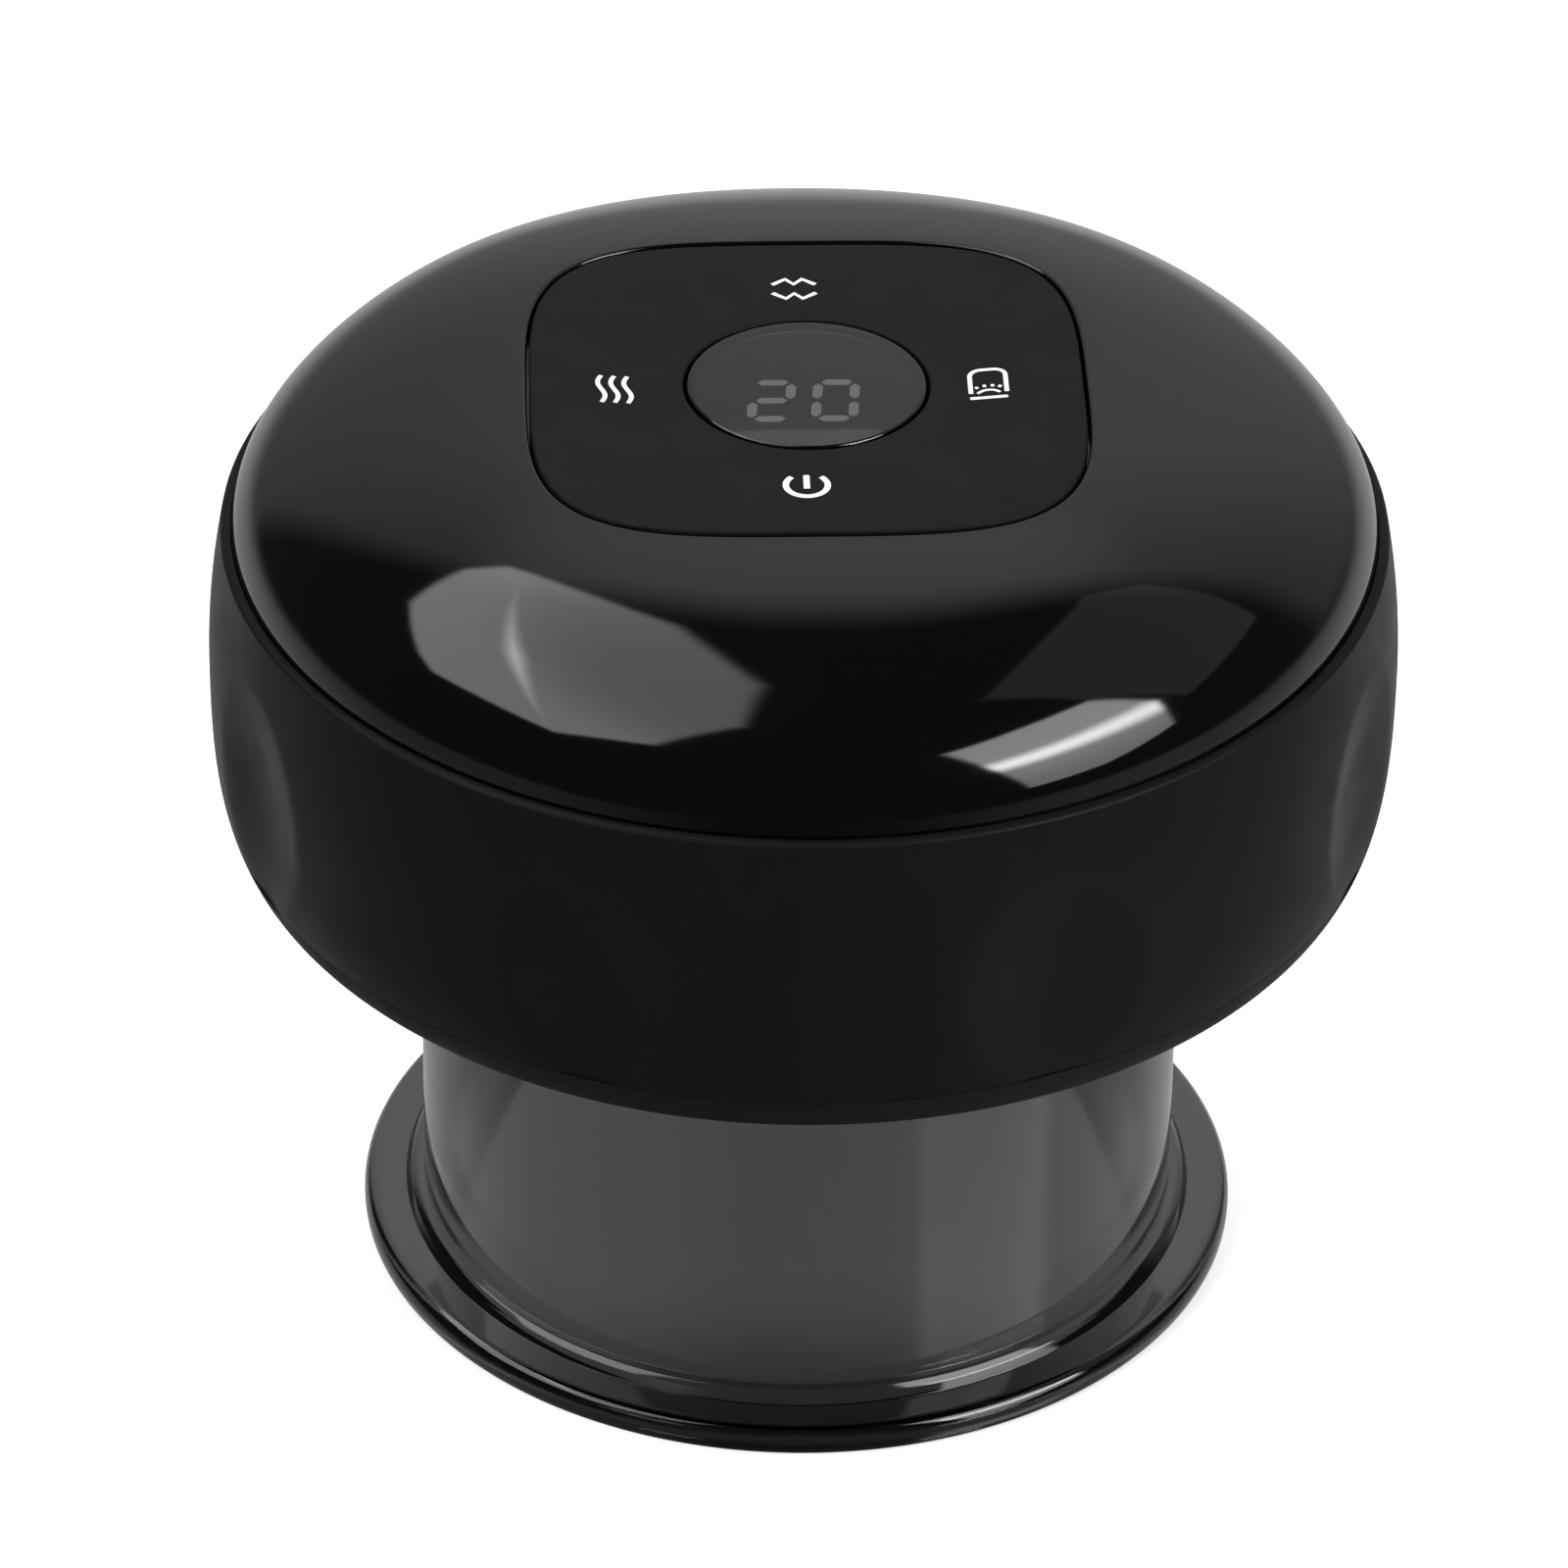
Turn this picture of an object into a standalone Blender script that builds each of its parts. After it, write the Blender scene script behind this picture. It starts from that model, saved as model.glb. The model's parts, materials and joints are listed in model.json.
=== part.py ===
"""Electric cupping massager: a round battery-driven suction head on a screw-on cup.

+Z is up, -Y is the side with the power key, and the origin is on the floor under the
middle of the cup's rim. Lengths are in metres.
"""

import math

import bmesh
import bpy
from mathutils import Matrix, Vector

MM = 0.001

# Clearances
GAP = 0.3 * MM
FREE_GAP = 0.4 * MM
OVERRUN = 1.0 * MM
ROOT = 0.4 * MM

# Facets round a turned piece
FACETS_LARGE = 48
FACETS_GRIP = 72
FACETS_SMALL = 12
FACETS_TINY = 8

# Cup
CUP_STAND = 37.6 * MM
CUP_INSET = 16.1 * MM
CUP_WALL = 2.9 * MM
NECK_STEP = 1.4 * MM
NECK_LENGTH = 6.8 * MM
SHOULDER_RISE = 0.5 * MM
RIM_FLARE = 4.9 * MM
RIM_THICKNESS = 2.1 * MM
RIM_ROUNDING = 0.9 * MM
RIDGE_STEP = 1.8 * MM
RIDGE_WIDTH = 1.1 * MM
RIDGE_RISE = 1.1 * MM
FOOT_FILLET = 1.6 * MM
MOUTH_ROUNDING = 1.5 * MM
THREAD_LEAD = 12.0 * MM
THREAD_STARTS = 3
THREAD_SPAN = math.radians(70)
THREAD_HEIGHT = 1.2 * MM
SEAL_THICKNESS = 0.7 * MM

# Head outline
GRIP_RADIUS = 46.2 * MM
EDGE_INSET = 5.5 * MM
WIDEST_RISE = 15.35 * MM
FOOT_RISE = 4.0 * MM
GRIP_RISE = 27.1 * MM
GRIP_LIP_INSET = 1.2 * MM
GRIP_WALL = 3.2 * MM
GRIP_SHELF_DEPTH = 3.0 * MM
LOWER_CURVE = 3.0
DIMPLES = 8
DIMPLE_RISE = 12.9 * MM
DIMPLE_HALF_WIDTH = 7.6 * MM
DIMPLE_HALF_TALL = 9.8 * MM
DIMPLE_DEPTH = 1.3 * MM

# Bottom cover
BASE_WALL = 1.8 * MM
BASE_SKIN = 2.5 * MM
SOCKET_WALL = 2.0 * MM
FLOOR_THICKNESS = 1.5 * MM
SPIGOT_INSET = 1.2 * MM
SPIGOT_WALL = 1.6 * MM
SPIGOT_REACH = 4.4 * MM

# Top cover
SEAM_INSET = 0.8 * MM
SEAM_DROP = 0.1 * MM
DOME_RISE = 11.9 * MM
COVER_WALL = 2.0 * MM
CORNER_CURVE = 3.7
ROUND_CURVE = 2.0
CURVE_FADE = 1.6
# Outward share from the key opening to the seam, and upward share from seam to crown
DOME_SHARES = (
    (0.0, 1.0),
    (0.24, 0.929),
    (0.46, 0.803),
    (0.636, 0.70),
    (0.79, 0.55),
    (0.91, 0.345),
    (0.972, 0.12),
    (1.0, 0.0),
)
SHELF_DROP = 2.5 * MM
SHELF_WIDTH = 1.4 * MM
SHELF_THICKNESS = 1.2 * MM
SHELF_ROOT = 1.4 * MM
HOUSING_BOSS_SHARE = 0.482
HOUSING_BOSS_RADIUS = 2.8 * MM

# Control panel
PANEL_HALF_WIDTH = 21.2 * MM
PANEL_HALF_DEPTH = 21.0 * MM
PANEL_PROUD = 0.1 * MM
PANEL_THICKNESS = 1.5 * MM
PANEL_CURVE = 3.8
PANEL_EDGE = 0.35 * MM
KEY_CIRCLE = 14.4 * MM
NIB_RADIUS = 1.2 * MM
NIB_LENGTH = 0.4 * MM

# Lens, its holder and the rocker washer
LENS_RADIUS = 9.5 * MM
LENS_PROUD = 0.5 * MM
LENS_THICKNESS = 1.7 * MM
LENS_ROUNDING = 0.5 * MM
HOLDER_RADIUS = 9.3 * MM
HOLDER_WALL = 1.1 * MM
HOLDER_FLANGE_RADIUS = 11.9 * MM
HOLDER_FLANGE = 1.1 * MM
WASHER_RADIUS = 11.8 * MM
WASHER_THICKNESS = 0.8 * MM
WASHER_GAP = 0.6 * MM
PIVOT_WIDTH = 1.2 * MM

# Key board and its parts
KEY_BOARD_HALF = 20.6 * MM
KEY_BOARD_THICKNESS = 1.2 * MM
KEY_BOARD_DEPTH = 5.4 * MM
KEY_POST_PLACE = 17.3 * MM
KEY_POST_RADIUS = 1.8 * MM
SWITCH_SIDE = 4.2 * MM
SWITCH_HEIGHT = 1.5 * MM
SWITCH_FLOOR = 0.5 * MM
PLUNGER_RADIUS = 1.1 * MM
PLUNGER_LIFT = 0.55 * MM
PLUNGER_GAP = 0.35 * MM
DISPLAY_WIDTH = 13.2 * MM
DISPLAY_DEPTH = 8.4 * MM
DISPLAY_HEIGHT = 2.8 * MM

# Small screws and staked pegs
SCREW_RADIUS = 0.8 * MM
SCREW_HEAD_RADIUS = 1.6 * MM
SCREW_HEAD = 0.9 * MM
STAKE_RADIUS = 0.7 * MM
STAKE_HEAD_RADIUS = 1.4 * MM
STAKE_HEAD = 0.8 * MM
HOUSING_SCREW_RADIUS = 1.2 * MM
HOUSING_SCREW_HEAD_RADIUS = 2.3 * MM
HOUSING_SCREW_HEAD = 1.0 * MM
HOUSING_SCREW_LENGTH = 11.0 * MM
PUMP_SCREW_LENGTH = 9.0 * MM

# Inner frame and battery
FRAME_THICKNESS = 1.2 * MM
FRAME_FRONT = 31.4 * MM
FRAME_REAR = 33.0 * MM
FRAME_TONGUE_HALF = 13.4 * MM
FRAME_TONGUE = 4.2 * MM
TRAY_WALL = 1.2 * MM
TRAY_HEIGHT = 5.0 * MM
TRAY_SIDE_LENGTH = 17.0 * MM
BATTERY_WIDTH = 44.0 * MM
BATTERY_DEPTH = 28.0 * MM
BATTERY_HEIGHT = 8.5 * MM
BATTERY_FRONT = 4.5 * MM
BATTERY_ROUNDING = 2.0 * MM
PAD_THICKNESS = 1.0 * MM
PAD_INSET = 6.0 * MM
FRAME_SCREW_PLACES = (-17.0 * MM, 17.0 * MM)
FRAME_SCREW_LINE = 5.0 * MM

# Main board
BOARD_THICKNESS = 1.2 * MM
BOARD_FRONT = 5.0 * MM
BOARD_HALF_WIDTH = 27.0 * MM
BOARD_DEPTH = 32.5 * MM
BOARD_SHARES = ((1.0, 0.0), (1.0, 0.4), (0.815, 0.554), (0.815, 0.77), (0.52, 1.0))
POST_RADIUS = 2.0 * MM
POST_FRONT_LINE = 8.0 * MM
POST_REAR_PLACE = 10.8 * MM
SOCKET_WIDTH = 9.0 * MM
SOCKET_HEIGHT = 3.2 * MM
SOCKET_DEPTH = 8.2 * MM
SOCKET_SHEET = 0.4 * MM
SOCKET_MOUTH_INSET = 0.9 * MM
PORT_WIDTH = 11.4 * MM
PORT_HEIGHT = 5.6 * MM
# Middle across, middle in depth, width, depth and height of a chip, as shares of the board
CHIP_SHARES = (-0.48, 0.24, 0.34, 0.28, 1.3)
SOLDERED_SHARES = (
    (0.48, 0.30, 0.20, 0.20, 1.4),
    (0.42, 0.70, 0.22, 0.17, 2.6),
    (-0.16, 0.80, 0.15, 0.14, 1.6),
)
BUZZER_RADIUS = 4.5 * MM
BUZZER_HEIGHT = 4.0 * MM
BUZZER_PLACE = (-13.0 * MM, 22.5 * MM)

# Motor, lying along X
MOTOR_HALF_WIDTH = 10.05 * MM
MOTOR_HALF_HEIGHT = 7.7 * MM
MOTOR_LENGTH = 24.0 * MM
MOTOR_REAR = -22.0 * MM
MOTOR_LINE = -21.0 * MM
MOTOR_SHEET = 0.8 * MM
END_CAP = 1.6 * MM
SHAFT_RADIUS = 1.0 * MM
ROTOR_RADIUS = 5.6 * MM
ROTOR_INSET = 3.0 * MM
MAGNET_ROUND_SHARE = 0.98
SLEEVE_WALL = 1.0 * MM
SLEEVE_LENGTH = 10.0 * MM
SLEEVE_START = 5.0 * MM
SADDLE_HEIGHT = 4.0 * MM

# Pump
PUMP_LENGTH = 18.6 * MM
PUMP_HALF_WIDTH = 9.0 * MM
PUMP_BODY_HEIGHT = 12.4 * MM
PUMP_WALL = 1.6 * MM
PUMP_SCREW_INSET = 2.2 * MM
CRANK_OFFSET = 0.5 * MM
CRANK_RADIUS = 3.0 * MM
CRANK_THICKNESS = 2.0 * MM
CRANK_PIN_RADIUS = 0.8 * MM
CRANK_PIN_LENGTH = 4.0 * MM
ROD_WALL = 1.0 * MM
ROD_HALF_WIDTH = 3.4 * MM
ROD_THICKNESS = 2.6 * MM
DIAPHRAGM_THICKNESS = 0.8 * MM
VALVE_PLATE_THICKNESS = 1.2 * MM
PUMP_COVER_THICKNESS = 2.8 * MM
NOZZLE_RADIUS = 1.2 * MM
NOZZLE_LENGTH = 3.6 * MM
NOZZLE_SHARES = (0.28, 0.72)

# Release valve, standing on the left
VALVE_INSET = 8.5 * MM
VALVE_HALF_WIDTH = 5.2 * MM
VALVE_HALF_DEPTH = 6.2 * MM
VALVE_FRAME_HEIGHT = 13.0 * MM
VALVE_SHEET = 1.0 * MM
VALVE_BODY_HEIGHT = 6.4 * MM
VALVE_BODY_HALF = 4.2 * MM
COIL_RADIUS = 4.4 * MM
COIL_BORE_RADIUS = 2.1 * MM
BOBBIN_FLANGE = 0.8 * MM
BOBBIN_CORE = 3.0 * MM
CORE_RADIUS = 1.7 * MM
CORE_LENGTH = 9.0 * MM
SPRING_WIRE = 0.22 * MM
SPRING_TURNS = 3

# Air path
TEE_RADIUS = 1.9 * MM
TEE_FLANGE_RADIUS = 3.8 * MM
TEE_FLANGE = 0.8 * MM
TEE_ARM_RADIUS = 1.3 * MM
TEE_ARM_RISE = 6.1 * MM
TEE_ARM_REACH = 6.0 * MM
TUBE_RADIUS = 1.5 * MM
LEAD_RADIUS = 0.8 * MM
CABLE_THICKNESS = 0.5 * MM
FILTER_RADIUS = 3.0 * MM
FILTER_THICKNESS = 1.3 * MM

# Heating plate and light ring, in the roof of the cup
PLATE_THICKNESS = 1.2 * MM
PLATE_DROP = 4.1 * MM
LIGHT_CIRCLE_SHARE = 0.6224
LIGHT_RADIUS = 1.6 * MM
LIGHT_PROUD = 0.2 * MM
LIGHTS = 8
LIGHT_BOARD_THICKNESS = 1.0 * MM
LIGHT_BOARD_BORE = 4.3 * MM
PLATE_PEG_SHARE = 0.3527
PLATE_PEGS = 3
LEAD_HOLE_RADIUS = 2.0 * MM
LEAD_HOLE_SHARE = 0.581

# Heights and radii that follow
CUP_WALL_RADIUS = GRIP_RADIUS - CUP_INSET
CUP_BORE_RADIUS = CUP_WALL_RADIUS - CUP_WALL
NECK_RADIUS = CUP_WALL_RADIUS - NECK_STEP
RIM_RADIUS = CUP_WALL_RADIUS + RIM_FLARE
RIDGE_RADIUS = CUP_WALL_RADIUS + RIDGE_STEP
SPIGOT_RADIUS = CUP_BORE_RADIUS - SPIGOT_INSET
NECK_TOP = CUP_STAND + NECK_LENGTH
SOCKET_RADIUS = CUP_WALL_RADIUS + GAP
SOCKET_ROOF = NECK_TOP + GAP + SEAL_THICKNESS + GAP
FLOOR_BOTTOM = SOCKET_ROOF + GAP
FLOOR_TOP = FLOOR_BOTTOM + FLOOR_THICKNESS
HEAD_EDGE_RADIUS = GRIP_RADIUS - EDGE_INSET
GRIP_LIP_RADIUS = GRIP_RADIUS - GRIP_LIP_INSET
GRIP_BORE_RADIUS = GRIP_RADIUS - GRIP_WALL
SEAM_RADIUS = GRIP_LIP_RADIUS - SEAM_INSET
GRIP_FOOT = CUP_STAND + FOOT_RISE
GRIP_WIDEST = CUP_STAND + WIDEST_RISE
GRIP_TOP = CUP_STAND + GRIP_RISE
GRIP_SHELF = GRIP_TOP - GRIP_SHELF_DEPTH
DIMPLE_HEIGHT = CUP_STAND + DIMPLE_RISE
SEAM_HEIGHT = GRIP_TOP - SEAM_DROP
CROWN_HEIGHT = SEAM_HEIGHT + DOME_RISE
PANEL_TOP = CROWN_HEIGHT + PANEL_PROUD
LENS_TOP = PANEL_TOP + LENS_PROUD
KEY_BOARD_TOP = PANEL_TOP - KEY_BOARD_DEPTH
BASE_RADIUS = GRIP_BORE_RADIUS - GAP
BASE_INNER = BASE_RADIUS - BASE_WALL
SOCKET_MOUTH = BASE_RADIUS - SOCKET_MOUTH_INSET
VALVE_PLACE = (VALVE_INSET - BASE_INNER, 0.0)
VALVE_REST = FLOOR_TOP + GAP
TEE_ARM_HEIGHT = FLOOR_TOP + TEE_ARM_RISE
PLATE_BOTTOM = FLOOR_BOTTOM - PLATE_DROP
BASE_TOP = GRIP_SHELF
TROUGH_BOTTOM = CUP_STAND + BASE_SKIN
SOCKET_OUTER = SOCKET_RADIUS + SOCKET_WALL
HOUSING_BOSS_CIRCLE = BASE_INNER - HOUSING_BOSS_SHARE * (BASE_INNER - SOCKET_OUTER)
OPENING_HALF = PANEL_HALF_WIDTH + FREE_GAP
COVER_SHELF = CROWN_HEIGHT - SHELF_DROP
PANEL_BOTTOM = PANEL_TOP - PANEL_THICKNESS
LENS_BOTTOM = LENS_TOP - LENS_THICKNESS
HOLDER_TOP = LENS_BOTTOM - GAP
KEY_BOARD_BOTTOM = KEY_BOARD_TOP - KEY_BOARD_THICKNESS
HOLDER_BOTTOM = KEY_BOARD_TOP + GAP
FLANGE_TOP = HOLDER_BOTTOM + HOLDER_FLANGE
WASHER_BOTTOM = FLANGE_TOP + WASHER_GAP
WASHER_TOP = WASHER_BOTTOM + WASHER_THICKNESS
SWITCH_TOP = HOLDER_BOTTOM + SWITCH_HEIGHT
SCREW_HOLE = SCREW_RADIUS + GAP
STAKE_HOLE = STAKE_RADIUS + GAP
HOUSING_SCREW_HOLE = HOUSING_SCREW_RADIUS + GAP
FRAME_BOTTOM = FLOOR_TOP + GAP
FRAME_TOP = FRAME_BOTTOM + FRAME_THICKNESS
FRAME_HALF_WIDTH = BATTERY_WIDTH / 2 + TRAY_WALL
BATTERY_BOTTOM = FRAME_TOP + GAP
BATTERY_TOP = BATTERY_BOTTOM + BATTERY_HEIGHT
BATTERY_REAR = BATTERY_FRONT + BATTERY_DEPTH
PAD_BOTTOM = BATTERY_TOP + GAP
BOARD_BOTTOM = PAD_BOTTOM + PAD_THICKNESS + GAP
BOARD_TOP = BOARD_BOTTOM + BOARD_THICKNESS
POST_FRONT = (BATTERY_WIDTH / 2 + 2 * GAP + POST_RADIUS, POST_FRONT_LINE)
POST_REAR = (POST_REAR_PLACE, BATTERY_REAR + GAP + POST_RADIUS)
MOTOR_AXIS = FRAME_TOP + GAP + SLEEVE_WALL + GAP + MOTOR_HALF_HEIGHT
MOTOR_FRONT = MOTOR_REAR + MOTOR_LENGTH
PUMP_START = MOTOR_FRONT + GAP
PUMP_END = PUMP_START + PUMP_LENGTH
PUMP_BOTTOM = FRAME_TOP + GAP
PUMP_BODY_TOP = PUMP_BOTTOM + PUMP_BODY_HEIGHT
DIAPHRAGM_BOTTOM = PUMP_BODY_TOP + GAP
VALVE_PLATE_BOTTOM = DIAPHRAGM_BOTTOM + DIAPHRAGM_THICKNESS + GAP
PUMP_COVER_BOTTOM = VALVE_PLATE_BOTTOM + VALVE_PLATE_THICKNESS + GAP
PUMP_COVER_TOP = PUMP_COVER_BOTTOM + PUMP_COVER_THICKNESS
PLATE_RADIUS = SPIGOT_RADIUS - SPIGOT_WALL - GAP
LIGHT_CIRCLE = LIGHT_CIRCLE_SHARE * PLATE_RADIUS
PLATE_PEG_CIRCLE = PLATE_PEG_SHARE * PLATE_RADIUS
LEAD_HOLE_PLACE = LEAD_HOLE_SHARE * PLATE_RADIUS
PLATE_TOP = PLATE_BOTTOM + PLATE_THICKNESS
LIGHT_BOARD_TOP = FLOOR_BOTTOM - GAP
LIGHT_BOARD_BOTTOM = LIGHT_BOARD_TOP - LIGHT_BOARD_THICKNESS
QUARTER_TURNS = tuple(math.radians(angle) for angle in (0, 90, 180, 270))
DIAGONALS = tuple(math.radians(angle) for angle in (45, 135, 225, 315))


# Scene and materials
def clear_scene():
    for old in list(bpy.data.objects):
        bpy.data.objects.remove(old, do_unlink=True)


def finish(name, colour, roughness, metallic=0.0):
    """A Principled material of one colour."""
    made = bpy.data.materials.new(name)
    made.use_nodes = True
    shader = made.node_tree.nodes["Principled BSDF"]
    shader.inputs["Base Color"].default_value = (*colour, 1.0)
    shader.inputs["Roughness"].default_value = roughness
    shader.inputs["Metallic"].default_value = metallic
    made.diffuse_color = (*colour, 1.0)
    return made


clear_scene()
GLOSS_ABS = finish("gloss_black_abs", (0.012, 0.012, 0.013), 0.12)
SATIN_ABS = finish("satin_black_abs", (0.016, 0.016, 0.017), 0.42)
SOFT_GRIP = finish("soft_touch_grip", (0.014, 0.014, 0.014), 0.62)
SMOKE_PC = finish("smoked_polycarbonate", (0.06, 0.06, 0.062), 0.14)
LENS_PC = finish("display_lens_pc", (0.05, 0.05, 0.052), 0.08)
SILICONE = finish("black_silicone", (0.03, 0.03, 0.03), 0.7)
CLEAR_SILICONE = finish("clear_silicone", (0.62, 0.63, 0.6), 0.45)
BOARD_GREEN = finish("circuit_board", (0.02, 0.13, 0.05), 0.5)
CHIP_BLACK = finish("chip_epoxy", (0.02, 0.02, 0.022), 0.55)
DISPLAY_GREY = finish("display_face", (0.05, 0.05, 0.055), 0.35)
NATURAL_NYLON = finish("natural_nylon", (0.6, 0.58, 0.5), 0.5)
WHITE_ABS = finish("white_abs", (0.7, 0.7, 0.68), 0.5)
STEEL = finish("zinc_plated_steel", (0.5, 0.5, 0.5), 0.32, 1.0)
ALUMINIUM = finish("anodised_aluminium", (0.62, 0.62, 0.63), 0.38, 1.0)
COPPER = finish("enamelled_copper", (0.55, 0.2, 0.08), 0.35, 1.0)
FERRITE = finish("ferrite", (0.04, 0.04, 0.045), 0.6)
FOIL = finish("battery_foil", (0.16, 0.3, 0.5), 0.4)
FOAM = finish("foam", (0.1, 0.1, 0.1), 0.9)
WIRE_RED = finish("wire_jacket", (0.5, 0.02, 0.02), 0.45)


# Shapes
def skin(bm, rings, loop=False):
    """Joins rings of points into faces. Without loop, both ends are closed flat."""
    rows = [[bm.verts.new(point) for point in ring] for ring in rings]
    count = len(rows)
    for k in range(count if loop else count - 1):
        low, high = rows[k], rows[(k + 1) % count]
        for i in range(len(low)):
            j = (i + 1) % len(low)
            bm.faces.new((low[i], low[j], high[j], high[i]))
    if not loop:
        bm.faces.new(rows[0])
        bm.faces.new(rows[-1])


def ellipse_ring(half_x, half_y, height, curve, count):
    """Points of a superellipse, evenly turned, which is a circle where curve is 2."""
    ring = []
    for i in range(count):
        turn = math.tau * i / count
        c, s = math.cos(turn), math.sin(turn)
        reach = (abs(c / half_x) ** curve + abs(s / half_y) ** curve) ** (-1 / curve)
        ring.append((reach * c, reach * s, height))
    return ring


def circle(radius, height, count):
    return ellipse_ring(radius, radius, height, ROUND_CURVE, count)


def turned(bm, profile, count=FACETS_LARGE, loop=True):
    """Turns a profile of (radius, height) points about Z."""
    skin(bm, [circle(radius, height, count) for radius, height in profile], loop)


def rod(bm, radius, low, high, place=(0.0, 0.0), count=FACETS_SMALL):
    rings = [[(x + place[0], y + place[1], z) for x, y, z in circle(radius, height, count)]
             for height in (low, high)]
    skin(bm, rings)


def rod_along(bm, axis, radius, start, end, middle, count=FACETS_SMALL):
    """A rod from start to end along X or Y; middle gives its other two coordinates."""
    rings = []
    for reach in (start, end):
        ring = []
        for u, v, _ in circle(radius, 0.0, count):
            u, v = u + middle[0], v + middle[1]
            ring.append((reach, u, v) if axis == "X" else (u, reach, v))
        rings.append(ring)
    skin(bm, rings)


def block(bm, low, high):
    corners = ((0, 0), (1, 0), (1, 1), (0, 1))
    pair = (low, high)
    skin(bm, [[(pair[i][0], pair[j][1], pair[k][2]) for i, j in corners] for k in (0, 1)])


def prism(bm, outline, low, high):
    skin(bm, [[(x, y, height) for x, y in outline] for height in (low, high)])


def across(place, angle):
    """A point on a circle about Z."""
    return place * math.cos(angle), place * math.sin(angle)


def four_corners(half_x, half_y, middle=(0.0, 0.0)):
    return [(middle[0] + i * half_x, middle[1] + j * half_y)
            for i, j in ((1, 1), (-1, 1), (-1, -1), (1, -1))]


def smooth_route(points, steps):
    """Points of a smooth curve through the route's own points."""
    route = [Vector(point) for point in points]
    route = [2 * route[0] - route[1], *route, 2 * route[-1] - route[-2]]
    curve = []
    for a, b, c, d in zip(route, route[1:], route[2:], route[3:]):
        for k in range(steps):
            t = k / steps
            curve.append(0.5 * (2 * b + (c - a) * t + (2 * a - 5 * b + 4 * c - d) * t**2
                                + (3 * b - a - 3 * c + d) * t**3))
    curve.append(route[-2])
    return curve


# Objects
def mesh_object(name, bm, material, origin=(0.0, 0.0, 0.0)):
    """Makes an object of a closed mesh, with its origin on the given point."""
    bmesh.ops.recalc_face_normals(bm, faces=bm.faces)
    bm.transform(Matrix.Translation(-Vector(origin)))
    mesh = bpy.data.meshes.new(name)
    bm.to_mesh(mesh)
    bm.free()
    mesh.shade_smooth()
    mesh.set_sharp_from_angle(angle=math.radians(35))
    if material:
        mesh.materials.append(material)
    made = bpy.data.objects.new(name, mesh)
    made.location = origin
    bpy.context.collection.objects.link(made)
    return made


def combine(target, operation, name, draw):
    """Adds a Boolean whose hidden helper the draw function fills."""
    bm = bmesh.new()
    draw(bm)
    helper = mesh_object(f"{target.name}_{name}", bm, None)
    helper.hide_render = True
    helper.display_type = "WIRE"
    modifier = target.modifiers.new(name, "BOOLEAN")
    modifier.operation = operation
    modifier.solver = "EXACT"
    modifier.object = helper


def make(name, material, draw, cuts=None, adds=None, origin=(0.0, 0.0, 0.0)):
    """Makes a piece with a draw function, then adds and cuts what further functions draw."""
    bm = bmesh.new()
    draw(bm)
    made = mesh_object(name, bm, material, origin)
    for label, extra in (adds or {}).items():
        combine(made, "UNION", label, extra)
    for label, extra in (cuts or {}).items():
        combine(made, "DIFFERENCE", label, extra)
    return made


def wire_object(name, points, radius, material, steps=3):
    """A round wire or tube with closed ends."""
    curve = bpy.data.curves.new(name, "CURVE")
    curve.dimensions = "3D"
    curve.bevel_depth = radius
    curve.bevel_resolution = 1
    curve.use_fill_caps = True
    places = smooth_route(points, steps)
    spline = curve.splines.new("POLY")
    spline.points.add(len(places) - 1)
    for spot, place in zip(spline.points, places):
        spot.co = (*place, 1.0)
    curve.materials.append(material)
    made = bpy.data.objects.new(name, curve)
    bpy.context.collection.objects.link(made)


def rod_steps(bm, profile, place, count=FACETS_TINY):
    """An upright rod of changing radius, from (radius, height) points."""
    skin(bm, [[(x + place[0], y + place[1], z) for x, y, z in circle(radius, height, count)]
              for radius, height in profile])


def make_screw(name, place, seat, length, radius=SCREW_RADIUS, head_radius=SCREW_HEAD_RADIUS,
               head=SCREW_HEAD, down=True):
    """A screw whose head bears on height seat, with its shank running down or up."""
    way = -1 if down else 1
    seat -= way * GAP
    profile = ((head_radius, seat - way * head), (head_radius, seat), (radius, seat),
               (radius, seat + way * length))
    make(name, STEEL, lambda bm: rod_steps(bm, profile, place))


def stake(bm, place, root, seat):
    """A plastic peg from height root through a board, with its melted head past height seat."""
    way = 1 if seat > root else -1
    head = seat + way * GAP
    rod_steps(bm, ((STAKE_RADIUS, root), (STAKE_RADIUS, head), (STAKE_HEAD_RADIUS, head),
                   (STAKE_HEAD_RADIUS, head + way * STAKE_HEAD)), place)


# Cup
def thread_ribs(bm, inner, outer, base):
    """Helical ribs of a right-hand thread, one for each start."""
    steps = 5
    for start in range(THREAD_STARTS):
        rings = []
        for k in range(steps + 1):
            turn = THREAD_SPAN * k / steps
            low = base + THREAD_LEAD * turn / math.tau
            angle = turn + math.tau * start / THREAD_STARTS
            rings.append([(*across(radius, angle), height)
                          for radius, height in ((inner, low), (outer, low),
                                                 (outer, low + THREAD_HEIGHT),
                                                 (inner, low + THREAD_HEIGHT))])
        skin(bm, rings)


SOCKET_RIB_BASE = CUP_STAND + SHOULDER_RISE + FREE_GAP
CUP_RIB_BASE = SOCKET_RIB_BASE + THREAD_HEIGHT + FREE_GAP


def arc(middle, radius, start, end, steps):
    """Points of an arc in the (radius, height) plane, with its angles in degrees."""
    points = []
    for k in range(steps + 1):
        angle = math.radians(start + (end - start) * k / steps)
        points.append((middle[0] + radius * math.cos(angle), middle[1] + radius * math.sin(angle)))
    return points


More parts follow.
